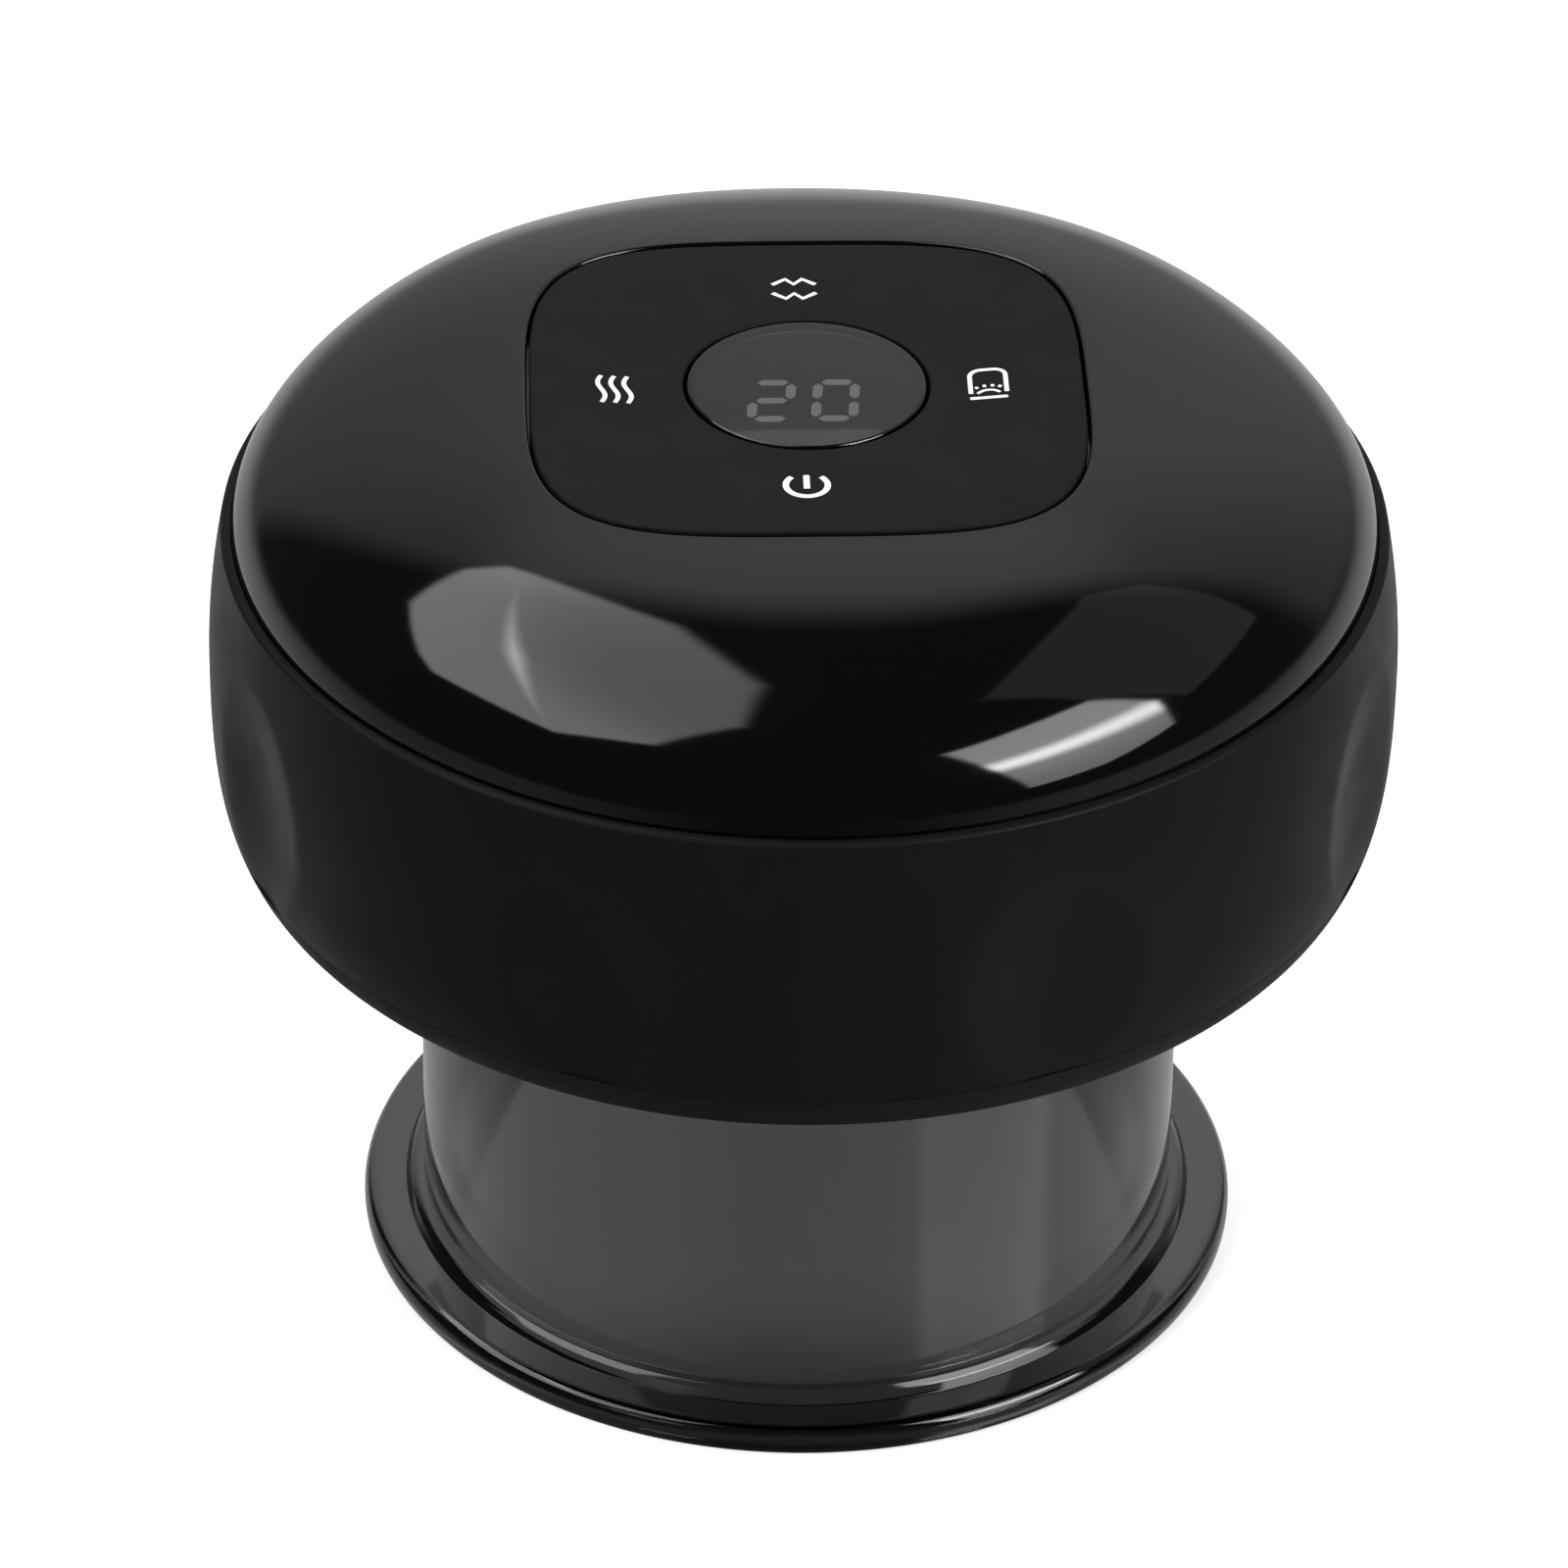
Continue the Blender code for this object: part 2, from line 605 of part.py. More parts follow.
def cup_profile():
    ridge_outer = RIDGE_RADIUS + RIDGE_WIDTH / 2
    ridge_inner = RIDGE_RADIUS - RIDGE_WIDTH / 2
    ridge_top = RIM_THICKNESS + RIDGE_RISE
    edge_middle = (RIM_RADIUS - RIM_ROUNDING, RIM_THICKNESS - RIM_ROUNDING)
    fillet_middle = (CUP_WALL_RADIUS + FOOT_FILLET, ridge_top + FOOT_FILLET)
    profile = [(NECK_RADIUS, NECK_TOP), (NECK_RADIUS, CUP_STAND + SHOULDER_RISE),
               (CUP_WALL_RADIUS, CUP_STAND + SHOULDER_RISE)]
    profile += arc(fillet_middle, FOOT_FILLET, 180, 235, 2)
    profile += [(ridge_inner, ridge_top), (ridge_outer, ridge_top - ROOT),
                (ridge_outer + ROOT, RIM_THICKNESS)]
    profile += arc(edge_middle, RIM_ROUNDING, 90, -60, 4)
    profile += [(RIM_RADIUS - RIM_ROUNDING, 0.0), (CUP_BORE_RADIUS + MOUTH_ROUNDING, 0.0)]
    profile += arc((CUP_BORE_RADIUS + MOUTH_ROUNDING, MOUTH_ROUNDING), MOUTH_ROUNDING, 240, 180, 2)
    profile.append((CUP_BORE_RADIUS, NECK_TOP))
    return profile


def make_cup():
    make("cup", SMOKE_PC, lambda bm: turned(bm, cup_profile()),
         adds={"thread": lambda bm: thread_ribs(bm, NECK_RADIUS - ROOT,
                                                SOCKET_RADIUS - FREE_GAP, CUP_RIB_BASE)})
    seal_inner = CUP_BORE_RADIUS + ROOT
    seal_bottom = NECK_TOP + GAP
    seal_top = seal_bottom + SEAL_THICKNESS
    seal_profile = ((NECK_RADIUS, seal_bottom), (NECK_RADIUS, seal_top),
                    (seal_inner, seal_top), (seal_inner, seal_bottom))
    make("cup_seal", SILICONE, lambda bm: turned(bm, seal_profile, FACETS_LARGE // 2))


# Head shells
def lower_outline(height):
    """Radius of the head's outline between its bottom edge and its widest height."""
    share = (GRIP_WIDEST - height) / (GRIP_WIDEST - CUP_STAND)
    share = min(max(share, 0.0), 1.0)
    bulge = (1 - share**LOWER_CURVE) ** (1 / LOWER_CURVE)
    return HEAD_EDGE_RADIUS + (GRIP_RADIUS - HEAD_EDGE_RADIUS) * bulge


def grip_outline(height):
    if height <= GRIP_WIDEST:
        return lower_outline(height)
    share = (height - GRIP_WIDEST) / (GRIP_TOP - GRIP_WIDEST)
    return GRIP_RADIUS - (GRIP_RADIUS - GRIP_LIP_RADIUS) * share**2


def dimple(angle, height):
    """Depth of the finger dimples at a point of the grip."""
    pitch = math.tau / DIMPLES
    nearest = (angle % pitch) - pitch / 2
    aside = nearest * GRIP_RADIUS / DIMPLE_HALF_WIDTH
    above = (height - DIMPLE_HEIGHT) / DIMPLE_HALF_TALL
    inside = max(0.0, 1 - aside**2 - above**2)
    return DIMPLE_DEPTH * inside * (2 - inside)


def draw_grip(bm):
    levels = 10
    lip = GAP
    rings = []
    for k in range(levels + 1):
        height = GRIP_FOOT + (GRIP_TOP - lip - GRIP_FOOT) * k / levels
        reach = grip_outline(height)
        ring = []
        for i in range(FACETS_GRIP):
            angle = math.tau * i / FACETS_GRIP
            ring.append((*across(reach - dimple(angle, height), angle), height))
        rings.append(ring)
    lip_inner = SEAM_RADIUS + GAP
    rings += [circle(lip_inner, GRIP_TOP, FACETS_GRIP), circle(lip_inner, GRIP_SHELF, FACETS_GRIP),
              circle(GRIP_BORE_RADIUS, GRIP_SHELF, FACETS_GRIP),
              circle(GRIP_BORE_RADIUS, GRIP_FOOT, FACETS_GRIP)]
    skin(bm, rings, loop=True)


PORT_HEIGHT_MIDDLE = BOARD_BOTTOM - GAP - SOCKET_HEIGHT / 2


def port_cutter(half_width, half_height, inner, outer):
    """A rounded slot along Y for the charging plug."""
    def draw(bm):
        rings = []
        for reach in (inner, outer):
            ring = []
            for side, first in ((1, -90), (-1, 90)):
                middle = (side * (half_width - half_height), PORT_HEIGHT_MIDDLE)
                ring += [(x, reach, z) for x, z in arc(middle, half_height, first, first + 180, 4)]
            rings.append(ring)
        skin(bm, rings)
    return draw


def make_grip():
    make("grip_ring", SOFT_GRIP, draw_grip,
         cuts={"port": port_cutter(PORT_WIDTH / 2, PORT_HEIGHT / 2, BASE_RADIUS - OVERRUN,
                                   GRIP_RADIUS + OVERRUN)})


def base_profile():
    ledge = GRIP_FOOT - GAP
    steps = 5
    profile = [(SOCKET_RADIUS, CUP_STAND)]
    for k in range(steps + 1):
        height = CUP_STAND + (ledge - CUP_STAND) * (k / steps) ** 2
        profile.append((lower_outline(height), height))
    stem_hole = TEE_RADIUS + FREE_GAP
    spigot_inner = SPIGOT_RADIUS - SPIGOT_WALL
    spigot_bottom = FLOOR_BOTTOM - SPIGOT_REACH
    profile += [(BASE_RADIUS, ledge), (BASE_RADIUS, BASE_TOP), (BASE_INNER, BASE_TOP),
                (BASE_INNER, TROUGH_BOTTOM), (SOCKET_OUTER, TROUGH_BOTTOM),
                (SOCKET_OUTER, FLOOR_TOP), (stem_hole, FLOOR_TOP), (stem_hole, FLOOR_BOTTOM),
                (spigot_inner, FLOOR_BOTTOM), (spigot_inner, spigot_bottom),
                (SPIGOT_RADIUS, spigot_bottom), (SPIGOT_RADIUS, SOCKET_ROOF),
                (SOCKET_RADIUS, SOCKET_ROOF)]
    return profile


def base_holes(bm):
    for angle in DIAGONALS:
        place = across(HOUSING_BOSS_CIRCLE, angle)
        rod(bm, HOUSING_SCREW_HOLE, CUP_STAND + HOUSING_SCREW_HEAD, TROUGH_BOTTOM + OVERRUN, place)
    for x in FRAME_SCREW_PLACES:
        rod(bm, SCREW_HOLE, FLOOR_BOTTOM - OVERRUN, FLOOR_TOP + OVERRUN, (x, -FRAME_SCREW_LINE),
            FACETS_TINY)
    rod(bm, LEAD_HOLE_RADIUS, FLOOR_BOTTOM - OVERRUN, FLOOR_TOP + OVERRUN, (LEAD_HOLE_PLACE, 0.0),
        FACETS_TINY)


def base_pegs(bm):
    for angle in plate_peg_angles():
        stake(bm, across(PLATE_PEG_CIRCLE, angle), FLOOR_BOTTOM + ROOT, PLATE_BOTTOM)


def base_counterbores(bm):
    for angle in DIAGONALS:
        rod(bm, HOUSING_SCREW_HEAD_RADIUS + GAP, CUP_STAND - OVERRUN,
            CUP_STAND + HOUSING_SCREW_HEAD + GAP, across(HOUSING_BOSS_CIRCLE, angle))


def make_base():
    socket = port_cutter(SOCKET_WIDTH / 2 + FREE_GAP, SOCKET_HEIGHT / 2 + FREE_GAP,
                         BASE_INNER - OVERRUN, BASE_RADIUS + OVERRUN)
    make("bottom_cover", SATIN_ABS, lambda bm: turned(bm, base_profile()),
         adds={"thread": lambda bm: thread_ribs(bm, NECK_RADIUS + FREE_GAP, SOCKET_RADIUS + ROOT,
                                                SOCKET_RIB_BASE),
               "pegs": base_pegs},
         cuts={"counterbores": base_counterbores, "holes": base_holes, "port": socket})


def dome_place(share):
    """Half width, height and curve of the dome's ring at a pair of outline shares."""
    out, up = share
    half = OPENING_HALF + (SEAM_RADIUS - OPENING_HALF) * out
    height = SEAM_HEIGHT + (CROWN_HEIGHT - SEAM_HEIGHT) * up
    curve = ROUND_CURVE + (CORNER_CURVE - ROUND_CURVE) * max(0.0, 1 - out) ** CURVE_FADE
    return half, height, curve


def dome_shares(steps):
    """The dome's outline shares, with smooth points added between them."""
    return [(place.x, place.y) for place in
            smooth_route([(out, up, 0.0) for out, up in DOME_SHARES], steps)]


def dome_height(radius):
    """Height of the dome's outer face at a distance from the middle."""
    places = [dome_place(share)[:2] for share in DOME_SHARES]
    for (near, high), (far, low) in zip(places, places[1:]):
        if radius <= far:
            return high + (low - high) * (radius - near) / (far - near)
    return SEAM_HEIGHT


def inner_dome():
    """Rings of the dome's inner face, one wall inside the outer one."""
    places = [dome_place(share) for share in DOME_SHARES]
    rings = []
    for k in range(1, len(places) - 1):
        half, height, curve = places[k]
        slope = Vector((places[k + 1][0] - places[k - 1][0], places[k + 1][1] - places[k - 1][1]))
        inward = Vector((slope.y, -slope.x)).normalized() * COVER_WALL
        rings.append((half + inward.x, height + inward.y, curve))
    return rings


def draw_top_cover(bm):
    def ring(half, height, curve):
        return ellipse_ring(half, half, height, curve, FACETS_LARGE)

    skirt = GRIP_SHELF + GAP
    shelf_inner = OPENING_HALF - SHELF_WIDTH
    shelf_bottom = COVER_SHELF - SHELF_THICKNESS
    rings = [ring(shelf_inner, shelf_bottom, CORNER_CURVE), ring(shelf_inner, COVER_SHELF, CORNER_CURVE),
             ring(OPENING_HALF, COVER_SHELF, CORNER_CURVE)]
    rings += [ring(*dome_place(share)) for share in dome_shares(2)]
    rings += [ring(SEAM_RADIUS, skirt, ROUND_CURVE), ring(SEAM_RADIUS - COVER_WALL, skirt, ROUND_CURVE)]
    rings += [ring(*place) for place in reversed(inner_dome())]
    rings.append(ring(OPENING_HALF + SHELF_ROOT, shelf_bottom, CORNER_CURVE))
    skin(bm, rings, loop=True)


def cover_bosses(bm):
    top = dome_height(HOUSING_BOSS_CIRCLE + HOUSING_BOSS_RADIUS) - COVER_WALL / 2
    for angle in DIAGONALS:
        rod(bm, HOUSING_BOSS_RADIUS, TROUGH_BOTTOM + GAP, top, across(HOUSING_BOSS_CIRCLE, angle))


def key_posts(bm):
    for place in four_corners(KEY_POST_PLACE, KEY_POST_PLACE):
        rod(bm, KEY_POST_RADIUS, KEY_BOARD_TOP + GAP, COVER_SHELF - GAP, place)


def key_stakes(bm):
    for place in four_corners(KEY_POST_PLACE, KEY_POST_PLACE):
        stake(bm, place, KEY_BOARD_TOP + 2 * GAP, KEY_BOARD_BOTTOM)


def cover_bores(bm):
    depth = TROUGH_BOTTOM + HOUSING_SCREW_LENGTH
    for angle in DIAGONALS:
        rod(bm, HOUSING_SCREW_HOLE, TROUGH_BOTTOM - OVERRUN, depth, across(HOUSING_BOSS_CIRCLE, angle),
            FACETS_TINY)


def make_top_cover():
    make("top_cover", GLOSS_ABS, draw_top_cover,
         adds={"bosses": cover_bosses, "key_posts": key_posts, "key_stakes": key_stakes},
         cuts={"bores": cover_bores})


def make_housing_screws():
    for number, angle in enumerate(DIAGONALS, 1):
        make_screw(f"housing_screw_{number}", across(HOUSING_BOSS_CIRCLE, angle),
                   CUP_STAND + HOUSING_SCREW_HEAD + GAP, HOUSING_SCREW_LENGTH, HOUSING_SCREW_RADIUS,
                   HOUSING_SCREW_HEAD_RADIUS, HOUSING_SCREW_HEAD - GAP, down=False)


# Control panel and what is under it
def draw_panel(bm):
    def ring(inset, height):
        return ellipse_ring(PANEL_HALF_WIDTH - inset, PANEL_HALF_DEPTH - inset, height, PANEL_CURVE,
                            FACETS_LARGE)

    bore = LENS_RADIUS + FREE_GAP
    skin(bm, [ring(0.0, PANEL_BOTTOM), ring(0.0, PANEL_TOP - PANEL_EDGE), ring(PANEL_EDGE, PANEL_TOP),
              circle(bore, PANEL_TOP, FACETS_LARGE), circle(bore, PANEL_BOTTOM, FACETS_LARGE)], loop=True)


def panel_nibs(bm):
    for angle in QUARTER_TURNS:
        rod(bm, NIB_RADIUS, PANEL_BOTTOM - NIB_LENGTH, PANEL_BOTTOM + ROOT, across(KEY_CIRCLE, angle),
            FACETS_TINY)


def pivot_bars(bm, axis, low, high):
    """Two short bars on the washer's middle circle, at both ends of one axis."""
    inner = HOLDER_RADIUS + WASHER_GAP
    for side in (1, -1):
        near, far = sorted((side * (inner + GAP), side * (WASHER_RADIUS - GAP)))
        if axis == "X":
            block(bm, (near, -PIVOT_WIDTH / 2, low), (far, PIVOT_WIDTH / 2, high))
        else:
            block(bm, (-PIVOT_WIDTH / 2, near, low), (PIVOT_WIDTH / 2, far, high))


def make_panel():
    make("control_panel", SATIN_ABS, draw_panel, adds={"nibs": panel_nibs},
         origin=(0.0, 0.0, PANEL_BOTTOM))
    inner = HOLDER_RADIUS + WASHER_GAP
    washer = ((inner, WASHER_BOTTOM), (WASHER_RADIUS, WASHER_BOTTOM), (WASHER_RADIUS, WASHER_TOP),
              (inner, WASHER_TOP))
    make("rocker_washer", NATURAL_NYLON, lambda bm: turned(bm, washer, FACETS_LARGE // 2),
         adds={"lower_pivot": lambda bm: pivot_bars(bm, "X", FLANGE_TOP + GAP, WASHER_TOP - GAP),
               "upper_pivot": lambda bm: pivot_bars(bm, "Y", WASHER_BOTTOM + GAP, PANEL_BOTTOM - GAP)},
         origin=(0.0, 0.0, FLANGE_TOP + GAP))


def make_lens():
    edge = arc((LENS_RADIUS - LENS_ROUNDING, LENS_TOP - LENS_ROUNDING), LENS_ROUNDING, 0, 90, 3)
    profile = [(LENS_RADIUS, LENS_BOTTOM), *edge]
    make("display_lens", LENS_PC, lambda bm: turned(bm, profile, FACETS_LARGE // 2, loop=False))
    inner = HOLDER_RADIUS - HOLDER_WALL
    holder = ((inner, HOLDER_BOTTOM), (HOLDER_FLANGE_RADIUS, HOLDER_BOTTOM),
              (HOLDER_FLANGE_RADIUS, FLANGE_TOP), (HOLDER_RADIUS, FLANGE_TOP),
              (HOLDER_RADIUS, HOLDER_TOP), (inner, HOLDER_TOP))
    make("lens_holder", SATIN_ABS, lambda bm: turned(bm, holder, FACETS_LARGE // 2))
    half = (DISPLAY_WIDTH / 2, DISPLAY_DEPTH / 2)
    make("digit_display", DISPLAY_GREY,
         lambda bm: block(bm, (-half[0], -half[1], HOLDER_BOTTOM),
                          (half[0], half[1], HOLDER_BOTTOM + DISPLAY_HEIGHT)))


def make_key_board():
    def draw(bm):
        skin(bm, [ellipse_ring(KEY_BOARD_HALF, KEY_BOARD_HALF, height, PANEL_CURVE, FACETS_LARGE // 2)
                  for height in (KEY_BOARD_BOTTOM, KEY_BOARD_TOP)])

    def holes(bm):
        for place in four_corners(KEY_POST_PLACE, KEY_POST_PLACE):
            rod(bm, STAKE_HOLE, KEY_BOARD_BOTTOM - OVERRUN, KEY_BOARD_TOP + OVERRUN, place, FACETS_TINY)

    make("key_board", BOARD_GREEN, draw, cuts={"holes": holes})


def make_switches():
    half = SWITCH_SIDE / 2
    low = HOLDER_BOTTOM + SWITCH_FLOOR + PLUNGER_LIFT
    high = PANEL_BOTTOM - NIB_LENGTH - PLUNGER_GAP
    for side, angle in zip(("right", "back", "left", "front"), QUARTER_TURNS):
        x, y = place = across(KEY_CIRCLE, angle)
        corners = ((x - half, y - half, HOLDER_BOTTOM), (x + half, y + half, SWITCH_TOP))
        make(f"key_switch_{side}", CHIP_BLACK, lambda bm: block(bm, *corners),
             cuts={"well": lambda bm: rod(bm, PLUNGER_RADIUS + GAP, HOLDER_BOTTOM + SWITCH_FLOOR,
                                          SWITCH_TOP + OVERRUN, place)})
        make(f"switch_plunger_{side}", WHITE_ABS,
             lambda bm: rod(bm, PLUNGER_RADIUS, low, high, place), origin=(x, y, low))


# Inner frame, battery and main board
def board_posts():
    """Places of the four posts that carry the main board."""
    return [(side * x, y) for x, y in (POST_FRONT, POST_REAR) for side in (1, -1)]


def draw_frame_plate(bm):
    outline = [(FRAME_HALF_WIDTH, -FRAME_FRONT), (FRAME_HALF_WIDTH, BATTERY_FRONT + TRAY_SIDE_LENGTH),
               (FRAME_TONGUE_HALF, FRAME_REAR + FRAME_TONGUE)]
    outline += [(-x, y) for x, y in reversed(outline)]
    prism(bm, outline, FRAME_BOTTOM, FRAME_TOP)


def frame_posts(bm):
    for place in board_posts():
        rod(bm, POST_RADIUS, FRAME_BOTTOM + GAP, BOARD_BOTTOM - GAP, place)


def frame_stakes(bm):
    for place in board_posts():
        stake(bm, place, BOARD_BOTTOM - 2 * GAP, BOARD_TOP)


def frame_tray(bm):
    """A low wall round the battery's front and both sides."""
    half = BATTERY_WIDTH / 2 + GAP
    front = BATTERY_FRONT - GAP
    rear = front + TRAY_SIDE_LENGTH
    outline = [(half, front), (half, rear), (half + TRAY_WALL, rear), (half + TRAY_WALL, front - TRAY_WALL)]
    outline += [(-x, y) for x, y in reversed(outline)]
    prism(bm, outline, FRAME_BOTTOM + GAP, FRAME_TOP + TRAY_HEIGHT)


def flat_round(half_width, half_height, steps=5):
    """Outline in Y and Z of the motor's flattened round can, about its axis."""
    lean = math.degrees(math.asin(half_height / half_width))
    right = arc((0.0, 0.0), half_width, -lean, lean, steps)
    return right + [(-y, -z) for y, z in right]


def along_motor(bm, outlines, starts, loop=False):
    """Joins outlines in Y and Z about the motor's axis, each at its place along X."""
    skin(bm, [[(start, MOTOR_LINE + y, MOTOR_AXIS + z) for y, z in outline]
              for outline, start in zip(outlines, starts)], loop)


def motor_outline(grow):
    return flat_round(MOTOR_HALF_WIDTH + grow, MOTOR_HALF_HEIGHT + grow)


def tube_along_motor(bm, inner, outer, start, end):
    along_motor(bm, (outer, outer, inner, inner), (start, end, end, start), loop=True)


SLEEVE_BACK = MOTOR_REAR + SLEEVE_START
SLEEVE_FRONT = SLEEVE_BACK + SLEEVE_LENGTH


def saddle(bm):
    half = MOTOR_HALF_WIDTH
    block(bm, (SLEEVE_BACK, MOTOR_LINE - half, FRAME_BOTTOM + GAP),
          (SLEEVE_FRONT, MOTOR_LINE + half, FRAME_TOP + SADDLE_HEIGHT))


def saddle_cut(bm):
    outline = motor_outline(GAP + SLEEVE_WALL + GAP)
    along_motor(bm, (outline, outline), (SLEEVE_BACK - OVERRUN, SLEEVE_FRONT + OVERRUN))


def frame_holes(bm):
    low, high = FRAME_BOTTOM - OVERRUN, FRAME_TOP + OVERRUN
    for x in FRAME_SCREW_PLACES:
        rod(bm, SCREW_HOLE, low, high, (x, -FRAME_SCREW_LINE), FACETS_TINY)
    rod(bm, TEE_FLANGE_RADIUS + GAP, low, high)
    rod(bm, LEAD_HOLE_RADIUS, low, high, (LEAD_HOLE_PLACE, 0.0), FACETS_TINY)


def make_frame():
    make("inner_frame", SATIN_ABS, draw_frame_plate,
         adds={"tray": frame_tray, "posts": frame_posts, "stakes": frame_stakes, "saddle": saddle},
         cuts={"saddle_cut": saddle_cut, "holes": frame_holes})
    for number, x in enumerate(FRAME_SCREW_PLACES, 1):
        make_screw(f"frame_screw_{number}", (x, -FRAME_SCREW_LINE), FRAME_TOP,
                   FRAME_THICKNESS + FLOOR_THICKNESS)


def make_battery():
    half = BATTERY_WIDTH / 2 - BATTERY_ROUNDING
    middle = BATTERY_BOTTOM + BATTERY_HEIGHT / 2
    flat = BATTERY_HEIGHT / 2
    section = []
    for side, first in ((1, -90), (-1, 90)):
        for x, z in arc((0.0, 0.0), 1.0, first, first + 180, 4):
            section.append((side * half + x * BATTERY_ROUNDING, middle + z * flat))

    def draw(bm):
        skin(bm, [[(x, y, z) for x, z in section] for y in (BATTERY_FRONT, BATTERY_REAR)])

    make("battery_cell", FOIL, draw)
    pad_half = BATTERY_WIDTH / 2 - PAD_INSET
    make("battery_pad", FOAM,
         lambda bm: block(bm, (-pad_half, BATTERY_FRONT + PAD_INSET, PAD_BOTTOM),
                          (pad_half, BATTERY_REAR - PAD_INSET, PAD_BOTTOM + PAD_THICKNESS)))


def make_main_board():
    outline = [(BOARD_HALF_WIDTH * x, BOARD_FRONT + BOARD_DEPTH * y) for x, y in BOARD_SHARES]
    outline += [(-x, y) for x, y in reversed(outline)]

    def holes(bm):
        for place in board_posts():
            rod(bm, STAKE_HOLE, BOARD_BOTTOM - OVERRUN, BOARD_TOP + OVERRUN, place, FACETS_TINY)

    def chip(bm, shares, seat):
        """A block on the board, placed and sized by shares of the board."""
        across_share, deep_share, width_share, depth_share, height_share = shares
        x, y = BOARD_HALF_WIDTH * across_share, BOARD_FRONT + BOARD_DEPTH * deep_share
        half_x, half_y = BOARD_HALF_WIDTH * width_share / 2, BOARD_DEPTH * depth_share / 2
        block(bm, (x - half_x, y - half_y, seat),
              (x + half_x, y + half_y, BOARD_TOP + BOARD_THICKNESS * height_share))

    def soldered_parts(bm):
        for shares in SOLDERED_SHARES:
            chip(bm, shares, BOARD_TOP - ROOT)

    make("main_board", BOARD_GREEN, lambda bm: prism(bm, outline, BOARD_BOTTOM, BOARD_TOP),
         adds={"soldered": soldered_parts}, cuts={"holes": holes})
    make("controller_chip", CHIP_BLACK, lambda bm: chip(bm, CHIP_SHARES, BOARD_TOP + GAP))
    make("buzzer", CHIP_BLACK,
         lambda bm: rod(bm, BUZZER_RADIUS, BOARD_TOP + GAP, BOARD_TOP + GAP + BUZZER_HEIGHT, BUZZER_PLACE))


def make_charge_socket():
    back = SOCKET_MOUTH - SOCKET_DEPTH
    outer = port_cutter(SOCKET_WIDTH / 2, SOCKET_HEIGHT / 2, back, SOCKET_MOUTH)
    inner = port_cutter(SOCKET_WIDTH / 2 - SOCKET_SHEET, SOCKET_HEIGHT / 2 - SOCKET_SHEET,
                        back + 2 * SOCKET_SHEET, SOCKET_MOUTH + OVERRUN)
    tongue_half = SOCKET_WIDTH / 2 - 3 * SOCKET_SHEET
    modelled = make("charge_socket", STEEL, outer, cuts={"pocket": inner})
    combine(modelled, "UNION", "tongue",
            lambda bm: block(bm, (-tongue_half, back + SOCKET_SHEET, PORT_HEIGHT_MIDDLE - SOCKET_SHEET),
                             (tongue_half, SOCKET_MOUTH - 2 * SOCKET_SHEET,
                              PORT_HEIGHT_MIDDLE + SOCKET_SHEET)))


# Motor
def make_motor():
    inside = motor_outline(-MOTOR_SHEET)
    outside = motor_outline(0.0)
    front_inside = MOTOR_FRONT - MOTOR_SHEET
    can_back = MOTOR_REAR + END_CAP + GAP
    hole = SHAFT_RADIUS + GAP
    make("motor_can", STEEL, lambda bm: along_motor(bm, (outside, outside), (can_back, MOTOR_FRONT)),
         cuts={"inside": lambda bm: along_motor(bm, (inside, inside), (can_back - OVERRUN, front_inside)),
               "shaft_hole": lambda bm: rod_along(bm, "X", hole, front_inside - OVERRUN,
                                                  MOTOR_FRONT + OVERRUN, (MOTOR_LINE, MOTOR_AXIS))})
    make("motor_end_cap", NATURAL_NYLON,
         lambda bm: along_motor(bm, (outside, outside), (MOTOR_REAR, MOTOR_REAR + END_CAP)),
         cuts={"bearing": lambda bm: rod_along(bm, "X", hole, MOTOR_REAR + GAP, PUMP_START,
                                               (MOTOR_LINE, MOTOR_AXIS))})
    magnet_bore = ROTOR_RADIUS + 2 * GAP
    near, far = can_back + ROTOR_INSET - GAP, front_inside - ROTOR_INSET + GAP
    make("motor_magnet", FERRITE,
         lambda bm: tube_along_motor(bm, flat_round(magnet_bore, magnet_bore * MAGNET_ROUND_SHARE),
                                     motor_outline(-MOTOR_SHEET - GAP), near, far))
    axis = (MOTOR_LINE, MOTOR_AXIS)
    crank_back = MOTOR_FRONT + 2 * GAP + PUMP_WALL
    crank_front = crank_back + CRANK_THICKNESS

    def draw_rotor(bm):
        rings = []
        for radius, start in ((SHAFT_RADIUS, MOTOR_REAR + 2 * GAP),
                              (SHAFT_RADIUS, can_back + ROTOR_INSET),
                              (ROTOR_RADIUS, can_back + ROTOR_INSET),
                              (ROTOR_RADIUS, front_inside - ROTOR_INSET),
                              (SHAFT_RADIUS, front_inside - ROTOR_INSET),
                              (SHAFT_RADIUS, crank_back),
                              (CRANK_RADIUS, crank_back),
                              (CRANK_RADIUS, crank_front)):
            rings.append([(start, axis[0] + u, axis[1] + v) for u, v, _ in
                          circle(radius, 0.0, FACETS_SMALL)])
        skin(bm, rings)

    make("motor_rotor", STEEL, draw_rotor,
         adds={"crank_pin": lambda bm: rod_along(bm, "X", CRANK_PIN_RADIUS, crank_front - ROOT,
                                                 crank_front + CRANK_PIN_LENGTH,
                                                 (axis[0], axis[1] + CRANK_OFFSET), FACETS_TINY)},
         origin=(crank_back, MOTOR_LINE, MOTOR_AXIS))
    make("motor_sleeve", SILICONE,
         lambda bm: tube_along_motor(bm, motor_outline(GAP), motor_outline(GAP + SLEEVE_WALL),
                                     SLEEVE_BACK, SLEEVE_FRONT))
    return crank_front


# Pump
def pump_screw_places():
    """Two opposite corners of the pump."""
    middle = ((PUMP_START + PUMP_END) / 2, MOTOR_LINE)
    return four_corners(PUMP_LENGTH / 2 - PUMP_SCREW_INSET, PUMP_HALF_WIDTH - PUMP_SCREW_INSET,
                        middle)[::2]


